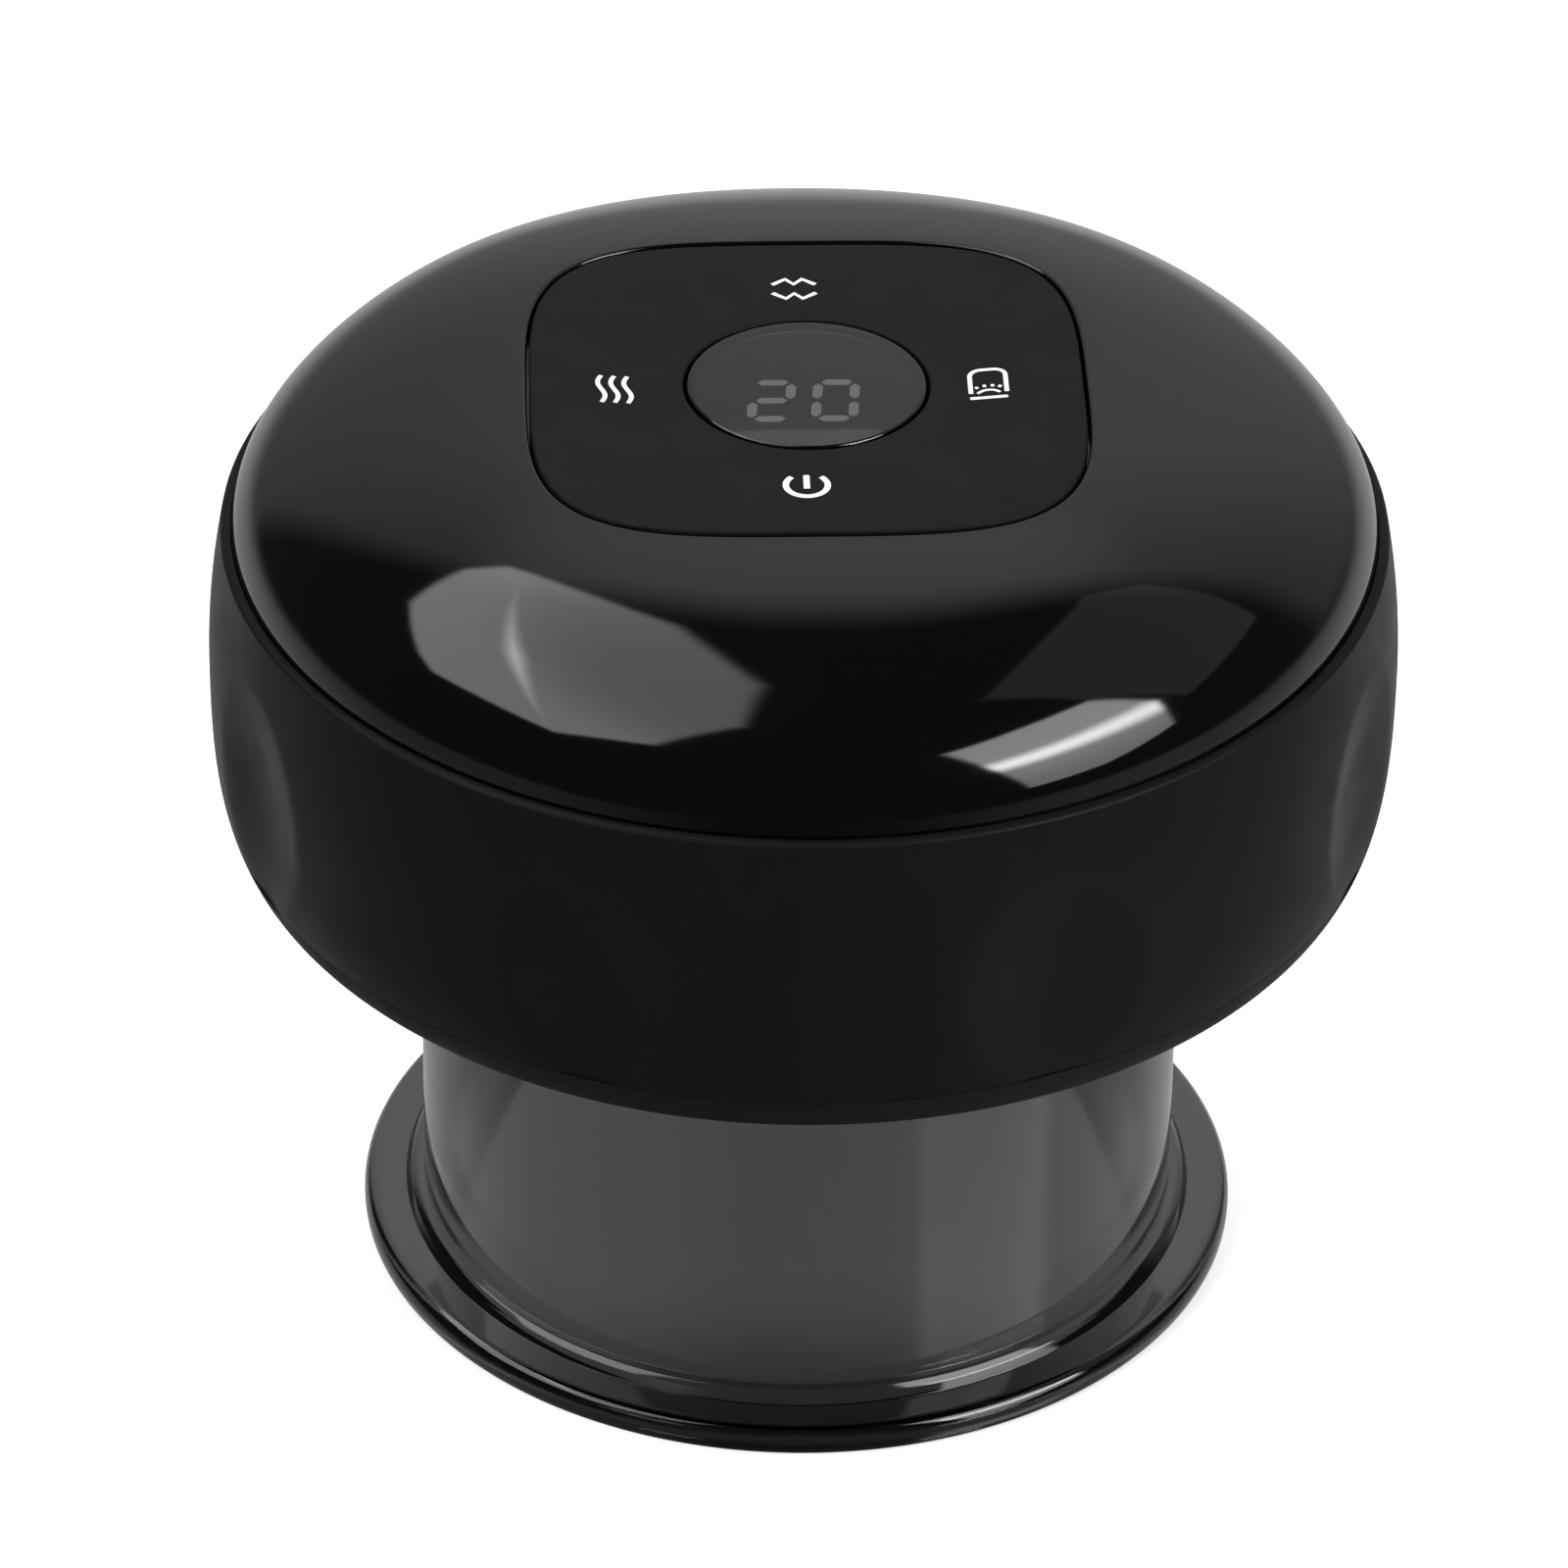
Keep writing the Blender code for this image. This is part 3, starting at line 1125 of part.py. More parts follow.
def pump_layer(name, material, low, high, cuts=None, adds=None):
    """A plate of the pump with its outline, and holes for the pump's screws."""
    def holes(bm):
        for place in pump_screw_places():
            rod(bm, SCREW_HOLE, low - OVERRUN, high + OVERRUN, place, FACETS_TINY)

    return make(name, material,
                lambda bm: block(bm, (PUMP_START, MOTOR_LINE - PUMP_HALF_WIDTH, low),
                                 (PUMP_END, MOTOR_LINE + PUMP_HALF_WIDTH, high)),
                adds=adds, cuts={"holes": holes, **(cuts or {})})


def make_pump(crank_front):
    axis = (MOTOR_LINE, MOTOR_AXIS)
    chamber_half = PUMP_HALF_WIDTH - 2 * PUMP_SCREW_INSET
    shank_bottom = PUMP_COVER_TOP - PUMP_SCREW_LENGTH

    def chamber(bm):
        block(bm, (PUMP_START + PUMP_WALL, MOTOR_LINE - chamber_half, PUMP_BOTTOM + PUMP_WALL),
              (PUMP_END - PUMP_WALL, MOTOR_LINE + chamber_half, PUMP_BODY_TOP + OVERRUN))

    def shaft_hole(bm):
        rod_along(bm, "X", SHAFT_RADIUS + GAP, PUMP_START - OVERRUN, PUMP_START + PUMP_WALL + OVERRUN, axis)

    def screw_bores(bm):
        for place in pump_screw_places():
            rod(bm, SCREW_HOLE, shank_bottom - OVERRUN, PUMP_BODY_TOP + OVERRUN, place, FACETS_TINY)

    make("pump_housing", CHIP_BLACK,
         lambda bm: block(bm, (PUMP_START, MOTOR_LINE - PUMP_HALF_WIDTH, PUMP_BOTTOM),
                          (PUMP_END, MOTOR_LINE + PUMP_HALF_WIDTH, PUMP_BODY_TOP)),
         cuts={"chamber": chamber, "shaft_hole": shaft_hole, "screw_bores": screw_bores})
    slot_half = CRANK_PIN_RADIUS + 2 * CRANK_OFFSET + GAP / 3
    slot_wide = CRANK_PIN_RADIUS + CRANK_OFFSET + GAP
    rod_start = crank_front + GAP + ROOT
    rod_end = rod_start + ROD_THICKNESS
    rod_half = slot_half + ROD_WALL
    make("pump_rod", NATURAL_NYLON,
         lambda bm: block(bm, (rod_start, MOTOR_LINE - ROD_HALF_WIDTH, MOTOR_AXIS - rod_half),
                          (rod_end, MOTOR_LINE + ROD_HALF_WIDTH, MOTOR_AXIS + rod_half)),
         cuts={"slot": lambda bm: block(bm, (rod_start - OVERRUN, MOTOR_LINE - slot_wide,
                                             MOTOR_AXIS - slot_half),
                                        (rod_end + OVERRUN, MOTOR_LINE + slot_wide,
                                         MOTOR_AXIS + slot_half))},
         origin=(rod_start, MOTOR_LINE, MOTOR_AXIS))
    pump_layer("pump_diaphragm", SILICONE, DIAPHRAGM_BOTTOM, DIAPHRAGM_BOTTOM + DIAPHRAGM_THICKNESS)
    ports = [(PUMP_START + PUMP_LENGTH * share, MOTOR_LINE) for share in NOZZLE_SHARES]

    def plate_ports(bm):
        for place in ports:
            rod(bm, NOZZLE_RADIUS, VALVE_PLATE_BOTTOM - OVERRUN,
                VALVE_PLATE_BOTTOM + VALVE_PLATE_THICKNESS + OVERRUN, place, FACETS_TINY)

    pump_layer("pump_valve_plate", NATURAL_NYLON, VALVE_PLATE_BOTTOM,
               VALVE_PLATE_BOTTOM + VALVE_PLATE_THICKNESS, cuts={"ports": plate_ports})
    face = MOTOR_LINE + PUMP_HALF_WIDTH
    nozzle_height = PUMP_COVER_BOTTOM + PUMP_COVER_THICKNESS / 2

    def nozzles(bm):
        for x, _ in ports:
            rod_along(bm, "Y", NOZZLE_RADIUS, face - ROOT, face + NOZZLE_LENGTH, (x, nozzle_height),
                      FACETS_TINY)

    pump_layer("pump_cover", WHITE_ABS, PUMP_COVER_BOTTOM, PUMP_COVER_TOP, adds={"nozzles": nozzles})

    for number, place in enumerate(pump_screw_places(), 1):
        make_screw(f"pump_screw_{number}", place, PUMP_COVER_TOP, PUMP_SCREW_LENGTH)
    return (ports[0][0], face + NOZZLE_LENGTH, nozzle_height)


# Release valve
def make_release_valve():
    x, y = VALVE_PLACE
    body_top = VALVE_REST + VALVE_BODY_HEIGHT
    frame_bottom = body_top + GAP
    frame_top = frame_bottom + VALVE_FRAME_HEIGHT
    coil_bottom = frame_bottom + VALVE_SHEET + GAP
    coil_top = frame_top - VALVE_SHEET - GAP
    nozzle_end = x + VALVE_HALF_WIDTH + GAP

    def draw_body(bm):
        block(bm, (x - VALVE_BODY_HALF, y - VALVE_BODY_HALF, VALVE_REST),
              (x + VALVE_BODY_HALF, y + VALVE_BODY_HALF, body_top))

    def nozzle(bm):
        rod_along(bm, "X", NOZZLE_RADIUS, x + VALVE_BODY_HALF - ROOT, nozzle_end,
                  (y, VALVE_REST + VALVE_BODY_HEIGHT / 2), FACETS_TINY)

    make("valve_body", WHITE_ABS, draw_body, adds={"nozzle": nozzle})

    def draw_frame(bm):
        block(bm, (x - VALVE_HALF_WIDTH, y - VALVE_HALF_DEPTH, frame_bottom),
              (x + VALVE_HALF_WIDTH, y + VALVE_HALF_DEPTH, frame_top))

    def window(bm):
        block(bm, (x - VALVE_HALF_WIDTH - OVERRUN, y - VALVE_HALF_DEPTH + VALVE_SHEET,
                   frame_bottom + VALVE_SHEET),
              (x + VALVE_HALF_WIDTH + OVERRUN, y + VALVE_HALF_DEPTH - VALVE_SHEET,
               frame_top - VALVE_SHEET))

    def core_hole(bm):
        rod(bm, COIL_BORE_RADIUS, frame_bottom - OVERRUN, frame_bottom + VALVE_SHEET + OVERRUN, (x, y))

    make("valve_frame", STEEL, draw_frame, cuts={"window": window, "core_hole": core_hole})
    bobbin = ((COIL_BORE_RADIUS, coil_bottom), (COIL_RADIUS, coil_bottom),
              (COIL_RADIUS, coil_bottom + BOBBIN_FLANGE), (BOBBIN_CORE, coil_bottom + BOBBIN_FLANGE),
              (BOBBIN_CORE, coil_top - BOBBIN_FLANGE), (COIL_RADIUS, coil_top - BOBBIN_FLANGE),
              (COIL_RADIUS, coil_top), (COIL_BORE_RADIUS, coil_top))
    winding = ((BOBBIN_CORE + GAP, coil_bottom + BOBBIN_FLANGE + GAP),
               (COIL_RADIUS, coil_bottom + BOBBIN_FLANGE + GAP),
               (COIL_RADIUS, coil_top - BOBBIN_FLANGE - GAP),
               (BOBBIN_CORE + GAP, coil_top - BOBBIN_FLANGE - GAP))

    def at_valve(profile):
        def draw(bm):
            turned(bm, profile, FACETS_SMALL)
            bm.transform(Matrix.Translation((x, y, 0.0)))
        return draw

    make("valve_bobbin", NATURAL_NYLON, at_valve(bobbin))
    make("valve_winding", COPPER, at_valve(winding))
    core_bottom = body_top + GAP
    core_top = core_bottom + CORE_LENGTH
    make("valve_plunger", STEEL, lambda bm: rod(bm, CORE_RADIUS, core_bottom, core_top, (x, y)),
         origin=(x, y, core_bottom))
    spring_low, spring_high = core_top + GAP, frame_top - VALVE_SHEET - GAP
    steps = 10
    helix = []
    for k in range(SPRING_TURNS * steps + 1):
        share = k / (SPRING_TURNS * steps)
        angle = math.tau * SPRING_TURNS * share
        reach = CORE_RADIUS - SPRING_WIRE
        helix.append((x + reach * math.cos(angle), y + reach * math.sin(angle),
                      spring_low + SPRING_WIRE + (spring_high - spring_low - 2 * SPRING_WIRE) * share))
    wire_object("valve_spring", helix, SPRING_WIRE, STEEL, steps=1)
    return (nozzle_end, y, VALVE_REST + VALVE_BODY_HEIGHT / 2)


# Air path, heating and light
def plate_peg_angles():
    return [math.tau * (k + 0.25) / PLATE_PEGS for k in range(PLATE_PEGS)]


def light_angles():
    return [math.tau * (k + 0.5) / LIGHTS for k in range(LIGHTS)]


def make_air_path(pump_nozzle, valve_nozzle):
    stem_bottom = PLATE_TOP + 2 * GAP
    stem_top = TEE_ARM_HEIGHT + TEE_RADIUS
    profile = ((TEE_RADIUS, stem_bottom), (TEE_RADIUS, FRAME_BOTTOM), (TEE_FLANGE_RADIUS, FRAME_BOTTOM),
               (TEE_FLANGE_RADIUS, FRAME_BOTTOM + TEE_FLANGE), (TEE_RADIUS, FRAME_BOTTOM + TEE_FLANGE),
               (TEE_RADIUS, stem_top))
    make("air_tee", WHITE_ABS, lambda bm: turned(bm, profile, FACETS_SMALL, loop=False),
         adds={"arms": lambda bm: rod_along(bm, "X", TEE_ARM_RADIUS, -TEE_ARM_REACH, TEE_ARM_REACH,
                                            (0.0, TEE_ARM_HEIGHT), FACETS_TINY)})
    arm_end = TEE_ARM_REACH + GAP
    x, y, z = pump_nozzle
    y += GAP
    rise = z - TEE_ARM_HEIGHT
    route = [(arm_end, 0.0, TEE_ARM_HEIGHT),
             (arm_end + 2 * TUBE_RADIUS, 0.0, TEE_ARM_HEIGHT + TUBE_RADIUS / 2),
             (arm_end + 3 * TUBE_RADIUS, 0.0, TEE_ARM_HEIGHT + rise / 2),
             (x + 2 * TUBE_RADIUS, y + 4 * TUBE_RADIUS, z - TUBE_RADIUS),
             (x + TUBE_RADIUS / 2, y + 3 * TUBE_RADIUS, z),
             (x, y + TUBE_RADIUS, z),
             (x, y, z)]
    wire_object("suction_tube", route, TUBE_RADIUS, CLEAR_SILICONE)
    end = Vector(valve_nozzle) + Vector((GAP, 0.0, 0.0))
    start = Vector((-arm_end, 0.0, TEE_ARM_HEIGHT))
    bend = Vector((4 * TUBE_RADIUS, 0.0, 0.0))
    wire_object("release_tube", [start, start - bend, end + bend, end], TUBE_RADIUS, CLEAR_SILICONE)
    make("filter_disc", FOAM,
         lambda bm: rod(bm, FILTER_RADIUS, PLATE_TOP + GAP - FILTER_THICKNESS, PLATE_TOP + GAP))


def make_heating():
    def plate_holes(bm):
        for angle in light_angles():
            rod(bm, LIGHT_RADIUS + GAP, PLATE_BOTTOM - OVERRUN, PLATE_TOP + OVERRUN,
                across(LIGHT_CIRCLE, angle), FACETS_TINY)
        for angle in plate_peg_angles():
            rod(bm, STAKE_HOLE, PLATE_BOTTOM - OVERRUN, PLATE_TOP + OVERRUN,
                across(PLATE_PEG_CIRCLE, angle), FACETS_TINY)

    hole_radius = FILTER_RADIUS + GAP
    plate = ((hole_radius, PLATE_BOTTOM), (PLATE_RADIUS, PLATE_BOTTOM), (PLATE_RADIUS, PLATE_TOP),
             (hole_radius, PLATE_TOP))
    make("heating_plate", ALUMINIUM, lambda bm: turned(bm, plate, FACETS_LARGE // 2),
         cuts={"holes": plate_holes})
    board = ((LIGHT_BOARD_BORE, LIGHT_BOARD_BOTTOM), (PLATE_RADIUS, LIGHT_BOARD_BOTTOM),
             (PLATE_RADIUS, LIGHT_BOARD_TOP), (LIGHT_BOARD_BORE, LIGHT_BOARD_TOP))

    def board_holes(bm):
        for angle in plate_peg_angles():
            rod(bm, STAKE_HOLE, LIGHT_BOARD_BOTTOM - OVERRUN, LIGHT_BOARD_TOP + OVERRUN,
                across(PLATE_PEG_CIRCLE, angle), FACETS_TINY)

    def lamps(bm):
        for angle in light_angles():
            rod(bm, LIGHT_RADIUS, PLATE_BOTTOM - LIGHT_PROUD, LIGHT_BOARD_BOTTOM + ROOT,
                across(LIGHT_CIRCLE, angle), FACETS_TINY)

    make("light_board", BOARD_GREEN, lambda bm: turned(bm, board, FACETS_LARGE // 2),
         adds={"lamps": lamps}, cuts={"holes": board_holes})


# Leads and ribbon
def make_leads():
    edge = BOARD_FRONT - GAP
    board_middle = (BOARD_BOTTOM + BOARD_TOP) / 2
    battery_middle = BATTERY_BOTTOM + BATTERY_HEIGHT * 0.75
    out = 3 * LEAD_RADIUS
    x = -BATTERY_WIDTH / 4
    wire_object("battery_lead",
                [(x, BATTERY_FRONT - GAP, battery_middle), (x, BATTERY_FRONT - out, battery_middle),
                 (x, BATTERY_FRONT - out - LEAD_RADIUS, (battery_middle + board_middle) / 2),
                 (x, BATTERY_FRONT - out, board_middle), (x, edge, board_middle)],
                LEAD_RADIUS, WIRE_RED)
    behind = MOTOR_REAR - 2 * GAP
    height = MOTOR_AXIS + MOTOR_HALF_HEIGHT / 2
    x = -BOARD_HALF_WIDTH + out
    wire_object("motor_lead",
                [(behind, MOTOR_LINE, height), (behind - out, MOTOR_LINE, height),
                 (behind - out, MOTOR_LINE + MOTOR_HALF_WIDTH, board_middle + out),
                 (x, 0.0, board_middle + out), (x, BOARD_FRONT - out, board_middle),
                 (x, edge, board_middle)],
                LEAD_RADIUS, WIRE_RED)
    x = LEAD_HOLE_PLACE
    wire_object("heater_lead",
                [(x, 0.0, LIGHT_BOARD_TOP + GAP), (x, 0.0, FRAME_TOP + out), (x, 0.0, BOARD_BOTTOM - out),
                 (x, BOARD_FRONT - out, board_middle), (x, edge, board_middle)],
                LEAD_RADIUS, WIRE_RED)


def make_ribbon():
    """The flat cable from the key board down to the main board."""
    half = DISPLAY_WIDTH / 4
    thin = CABLE_THICKNESS / 2
    start = DISPLAY_DEPTH * 1.5
    low, high = BOARD_TOP + GAP, KEY_BOARD_BOTTOM - GAP
    middle = [(start, high), (start, high - 4 * thin), (start + 8 * thin, (low + high) / 2),
              (start, low + 4 * thin), (start, low)]
    route = smooth_route([(0.0, y, z) for y, z in middle], 3)
    outline = [(p.y + thin, p.z) for p in route] + [(p.y - thin, p.z) for p in reversed(route)]

    def draw(bm):
        skin(bm, [[(x, y, z) for y, z in outline] for x in (-half, half)])

    make("key_cable", WHITE_ABS, draw)


def main():
    make_cup()
    make_base()
    make_grip()
    make_top_cover()
    make_housing_screws()
    make_panel()
    make_lens()
    make_key_board()
    make_switches()
    make_frame()
    make_battery()
    make_main_board()
    make_charge_socket()
    pump_nozzle = make_pump(make_motor())
    valve_nozzle = make_release_valve()
    make_air_path(pump_nozzle, valve_nozzle)
    make_heating()
    make_leads()
    make_ribbon()


if __name__ == "__main__":
    main()
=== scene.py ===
"""Electric cupping massager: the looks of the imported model.

Lengths are in metres, +Z is up, and -Y is the side with the power key. Every piece is
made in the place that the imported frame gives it, and rides on one of the frame's bodies.
"""

import json
import math

import bmesh
import bpy
from mathutils import Matrix, Vector


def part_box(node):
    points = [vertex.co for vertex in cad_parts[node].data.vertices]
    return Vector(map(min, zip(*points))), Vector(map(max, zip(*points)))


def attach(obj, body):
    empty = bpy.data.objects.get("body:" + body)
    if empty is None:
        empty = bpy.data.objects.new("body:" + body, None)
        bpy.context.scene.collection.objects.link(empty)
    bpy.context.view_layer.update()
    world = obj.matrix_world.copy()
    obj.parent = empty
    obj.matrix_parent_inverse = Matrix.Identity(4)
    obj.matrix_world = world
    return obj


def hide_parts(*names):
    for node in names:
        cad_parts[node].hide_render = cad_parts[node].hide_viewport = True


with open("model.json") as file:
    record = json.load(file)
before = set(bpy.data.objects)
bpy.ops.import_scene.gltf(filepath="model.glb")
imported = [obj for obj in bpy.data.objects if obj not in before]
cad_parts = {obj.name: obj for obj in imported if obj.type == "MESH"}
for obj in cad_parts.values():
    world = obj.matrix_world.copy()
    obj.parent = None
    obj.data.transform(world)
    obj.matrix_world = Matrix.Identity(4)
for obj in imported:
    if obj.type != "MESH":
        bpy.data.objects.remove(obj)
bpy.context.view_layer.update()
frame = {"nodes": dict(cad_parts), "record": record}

bl_info = {
    "name": "Electric Cupping Massager",
    "version": (1, 0, 0),
    "blender": (4, 5, 0),
    "location": "View3D > Sidebar > Massager",
    "description": "Builds a battery-driven suction head on its smoked screw-on cup",
    "category": "Add Mesh",
}

MM = 0.001

# Boxes of the frame's pieces, as their low and high corners, and heights that they give
CUP_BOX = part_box("cup")
BASE_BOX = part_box("bottom_cover")
GRIP_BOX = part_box("grip_ring")
PANEL_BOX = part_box("control_panel")
LENS_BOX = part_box("display_lens")
DISPLAY_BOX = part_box("digit_display")
PLATE_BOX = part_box("heating_plate")
LIGHT_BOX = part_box("light_board")
SEAL_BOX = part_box("cup_seal")
SOCKET_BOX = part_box("charge_socket")
SCREW_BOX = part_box("housing_screw_1")
HEAD_BOTTOM = BASE_BOX[0].z
SKIRT_BOTTOM = GRIP_BOX[0].z
PANEL_TOP = PANEL_BOX[1].z
LENS_TOP = LENS_BOX[1].z
SOCKET_MIDDLE = (SOCKET_BOX[0].z + SOCKET_BOX[1].z) / 2

# Clearance and smoothness
GAP = 0.3 * MM
OVERRUN = 1.0 * MM
FACETS = 256
FACETS_GRIP = 384
FACETS_MIDDLE = 128
FACETS_SMALL = 32
FACETS_LAMP = 24
SHARP_ANGLE = math.radians(32)

# Way round of a thread rib as a share of a turn, the lamps over the cup and the housing screws
RIB_TURNS = 70 / 360
LAMPS = 8
LAMP_CIRCLE = 15.0 * MM
SCREWS = 4


def size(name, description, millimetres):
    """A length property with its default in millimetres."""
    return bpy.props.FloatProperty(name=name, description=description, default=millimetres * MM,
                                   min=0.0, subtype="DISTANCE", unit="LENGTH", precision=5)


def linear(code):
    """The linear colour of an sRGB hex value."""
    parts = [int(code[i:i + 2], 16) / 255 for i in (1, 3, 5)]
    return tuple(part / 12.92 if part <= 0.04045 else ((part + 0.055) / 1.055) ** 2.4
                 for part in parts)


def colour(name, description, code):
    """A colour property with its default as an sRGB hex value."""
    return bpy.props.FloatVectorProperty(name=name, description=description, default=linear(code),
                                         size=3, min=0.0, max=1.0, subtype="COLOR")


class CupSizes(bpy.types.PropertyGroup):
    bore_radius: size("Bore radius", "Inside radius of the cup", 27.2)
    wall_radius: size("Wall radius", "Outside radius of the cup's wall", 30.1)
    neck_radius: size("Neck radius", "Outside radius of the neck in the socket", 28.7)
    rim_thickness: size("Rim thickness", "Thickness of the flared rim", 2.4)
    bead_radius: size("Bead radius", "Outside radius of the bead round the foot of the wall", 31.6)
    bead_rise: size("Bead rise", "Height of the bead over the rim", 1.05)


class HeadSizes(bpy.types.PropertyGroup):
    edge_radius: size("Bottom edge radius", "Radius of the head's flat underside", 40.7)
    widest: size("Widest height", "Height where the grip is widest", 52.95)
    lip_radius: size("Lip radius", "Radius of the grip's upper lip", 45.0)
    seam_radius: size("Seam radius", "Radius of the cover where it meets the grip", 44.2)
    crown: size("Crown height", "Height of the cover at the key opening", 76.5)
    dome_curve: bpy.props.FloatProperty(name="Dome curve", description="Power of the cover's curve",
                                        default=1.4, min=1.0)
    dimple_width: size("Dimple width", "Width of a finger dimple", 15.2)
    dimple_height: size("Dimple height", "Height of a finger dimple", 19.6)
    dimple_depth: size("Dimple depth", "Depth of a finger dimple", 1.3)
    dimple_middle: size("Dimple middle", "Height of the dimples' middle", 50.5)
    dimples: bpy.props.IntProperty(name="Dimples", description="Number of finger dimples",
                                   default=8, min=1)


class PanelSizes(bpy.types.PropertyGroup):
    key_circle: size("Key circle", "Distance of the key symbols from the middle", 14.4)
    ink_thickness: size("Ink thickness", "Thickness of the symbols' ink", 0.04)
    digit_height: size("Digit height", "Height between the segments' middles", 5.1)
    digit_width: size("Digit width", "Width between the segments' middles", 2.83)
    digit_pitch: size("Digit pitch", "Distance from digit to digit", 4.87)
    segment: size("Segment", "Width of a lit segment", 0.75)
    edge: size("Edge", "Rounding of the panel's edge", 0.35)


class Colours(bpy.types.PropertyGroup):
    gloss: colour("Cover", "Gloss moulding of the top cover", "#020202")
    satin: colour("Panel", "Satin moulding of the key panel", "#101010")
    grip: colour("Grip", "Soft-touch coat of the grip", "#0f0f0f")
    cup: colour("Cup", "Smoked tint of the cup", "#464646")
    ink: colour("Symbols", "Printed key symbols", "#e6e6e6")
    digits: colour("Digits", "Display segments", "#8c8c8c")


# Nodes and materials
def add_node(tree, kind, inputs=None, **settings):
    """Adds a node with its settings; inputs maps a socket to a value, an output or a node."""
    node = tree.nodes.new(kind)
    for name, value in settings.items():
        setattr(node, name, value)
    for key, value in (inputs or {}).items():
        if isinstance(value, bpy.types.Node):
            value = value.outputs[0]
        if isinstance(value, bpy.types.NodeSocket):
            tree.links.new(value, node.inputs[key])
        else:
            node.inputs[key].default_value = value
    return node


def start_material(name, tint, roughness, **sockets):
    """A material with its Principled shader, whose constant sockets are given by name."""
    made = bpy.data.materials.new(name)
    made.use_nodes = True
    made.diffuse_color = (*tint, 1.0)
    shader = made.node_tree.nodes["Principled BSDF"]
    shader.inputs["Base Color"].default_value = (*tint, 1.0)
    shader.inputs["Roughness"].default_value = roughness
    for key, value in sockets.items():
        shader.inputs[key.replace("_", " ")].default_value = value
    return made, made.node_tree, shader


def moulded(name, tint, roughness, grain, depth, mottle=0.12, **sockets):
    """A material with a grain, its depth in millimetres, and slight changes of tint and shine."""
    made, tree, shader = start_material(name, tint, roughness, **sockets)
    grain *= MM
    place = add_node(tree, "ShaderNodeTexCoord").outputs["Object"]
    broad, fine = (add_node(tree, "ShaderNodeTexNoise", {"Vector": place, "Scale": 1 / spots,
                                                         "Detail": detail}).outputs["Fac"]
                   for spots, detail in ((20 * grain, 2.0), (grain, 3.0)))
    # The part of the noise's range over which the tint and the shine change
    low, high = 0.3, 0.7
    ramp = add_node(tree, "ShaderNodeValToRGB", {"Fac": broad})
    for element, position, share in zip(ramp.color_ramp.elements, (low, high),
                                        (1 - mottle, 1 + mottle)):
        element.position = position
        element.color = (*(min(1.0, part * share) for part in tint), 1.0)
    shine = add_node(tree, "ShaderNodeMapRange", {
        "Value": broad, "From Min": low, "From Max": high,
        "To Min": roughness * 0.9, "To Max": roughness * 1.1})
    bump = add_node(tree, "ShaderNodeBump", {"Height": fine, "Distance": depth * MM,
                                             "Strength": 1.0})
    for socket, node in (("Base Color", ramp), ("Roughness", shine), ("Normal", bump)):
        tree.links.new(node.outputs[0], shader.inputs[socket])
    return made


def tint_by_height(material, height, stops):
    """Lets the base colour change with height; stops give a share of the height and of the tint."""
    tree = material.node_tree
    shader = tree.nodes["Principled BSDF"]
    place = add_node(tree, "ShaderNodeSeparateXYZ",
                     {"Vector": add_node(tree, "ShaderNodeTexCoord").outputs["Object"]})
    share = add_node(tree, "ShaderNodeMath", {0: place.outputs["Z"], 1: height},
                     operation="DIVIDE")
    ramp = add_node(tree, "ShaderNodeValToRGB", {"Fac": share})
    for element, (position, tone) in zip(ramp.color_ramp.elements, stops):
        element.position = position
        element.color = (tone, tone, tone, 1.0)
    tint = shader.inputs["Base Color"].links[0].from_socket
    mixed = add_node(tree, "ShaderNodeMix", {0: 1.0, 6: tint, 7: ramp},
                     data_type="RGBA", blend_type="MULTIPLY")
    tree.links.new(mixed.outputs[2], shader.inputs["Base Color"])


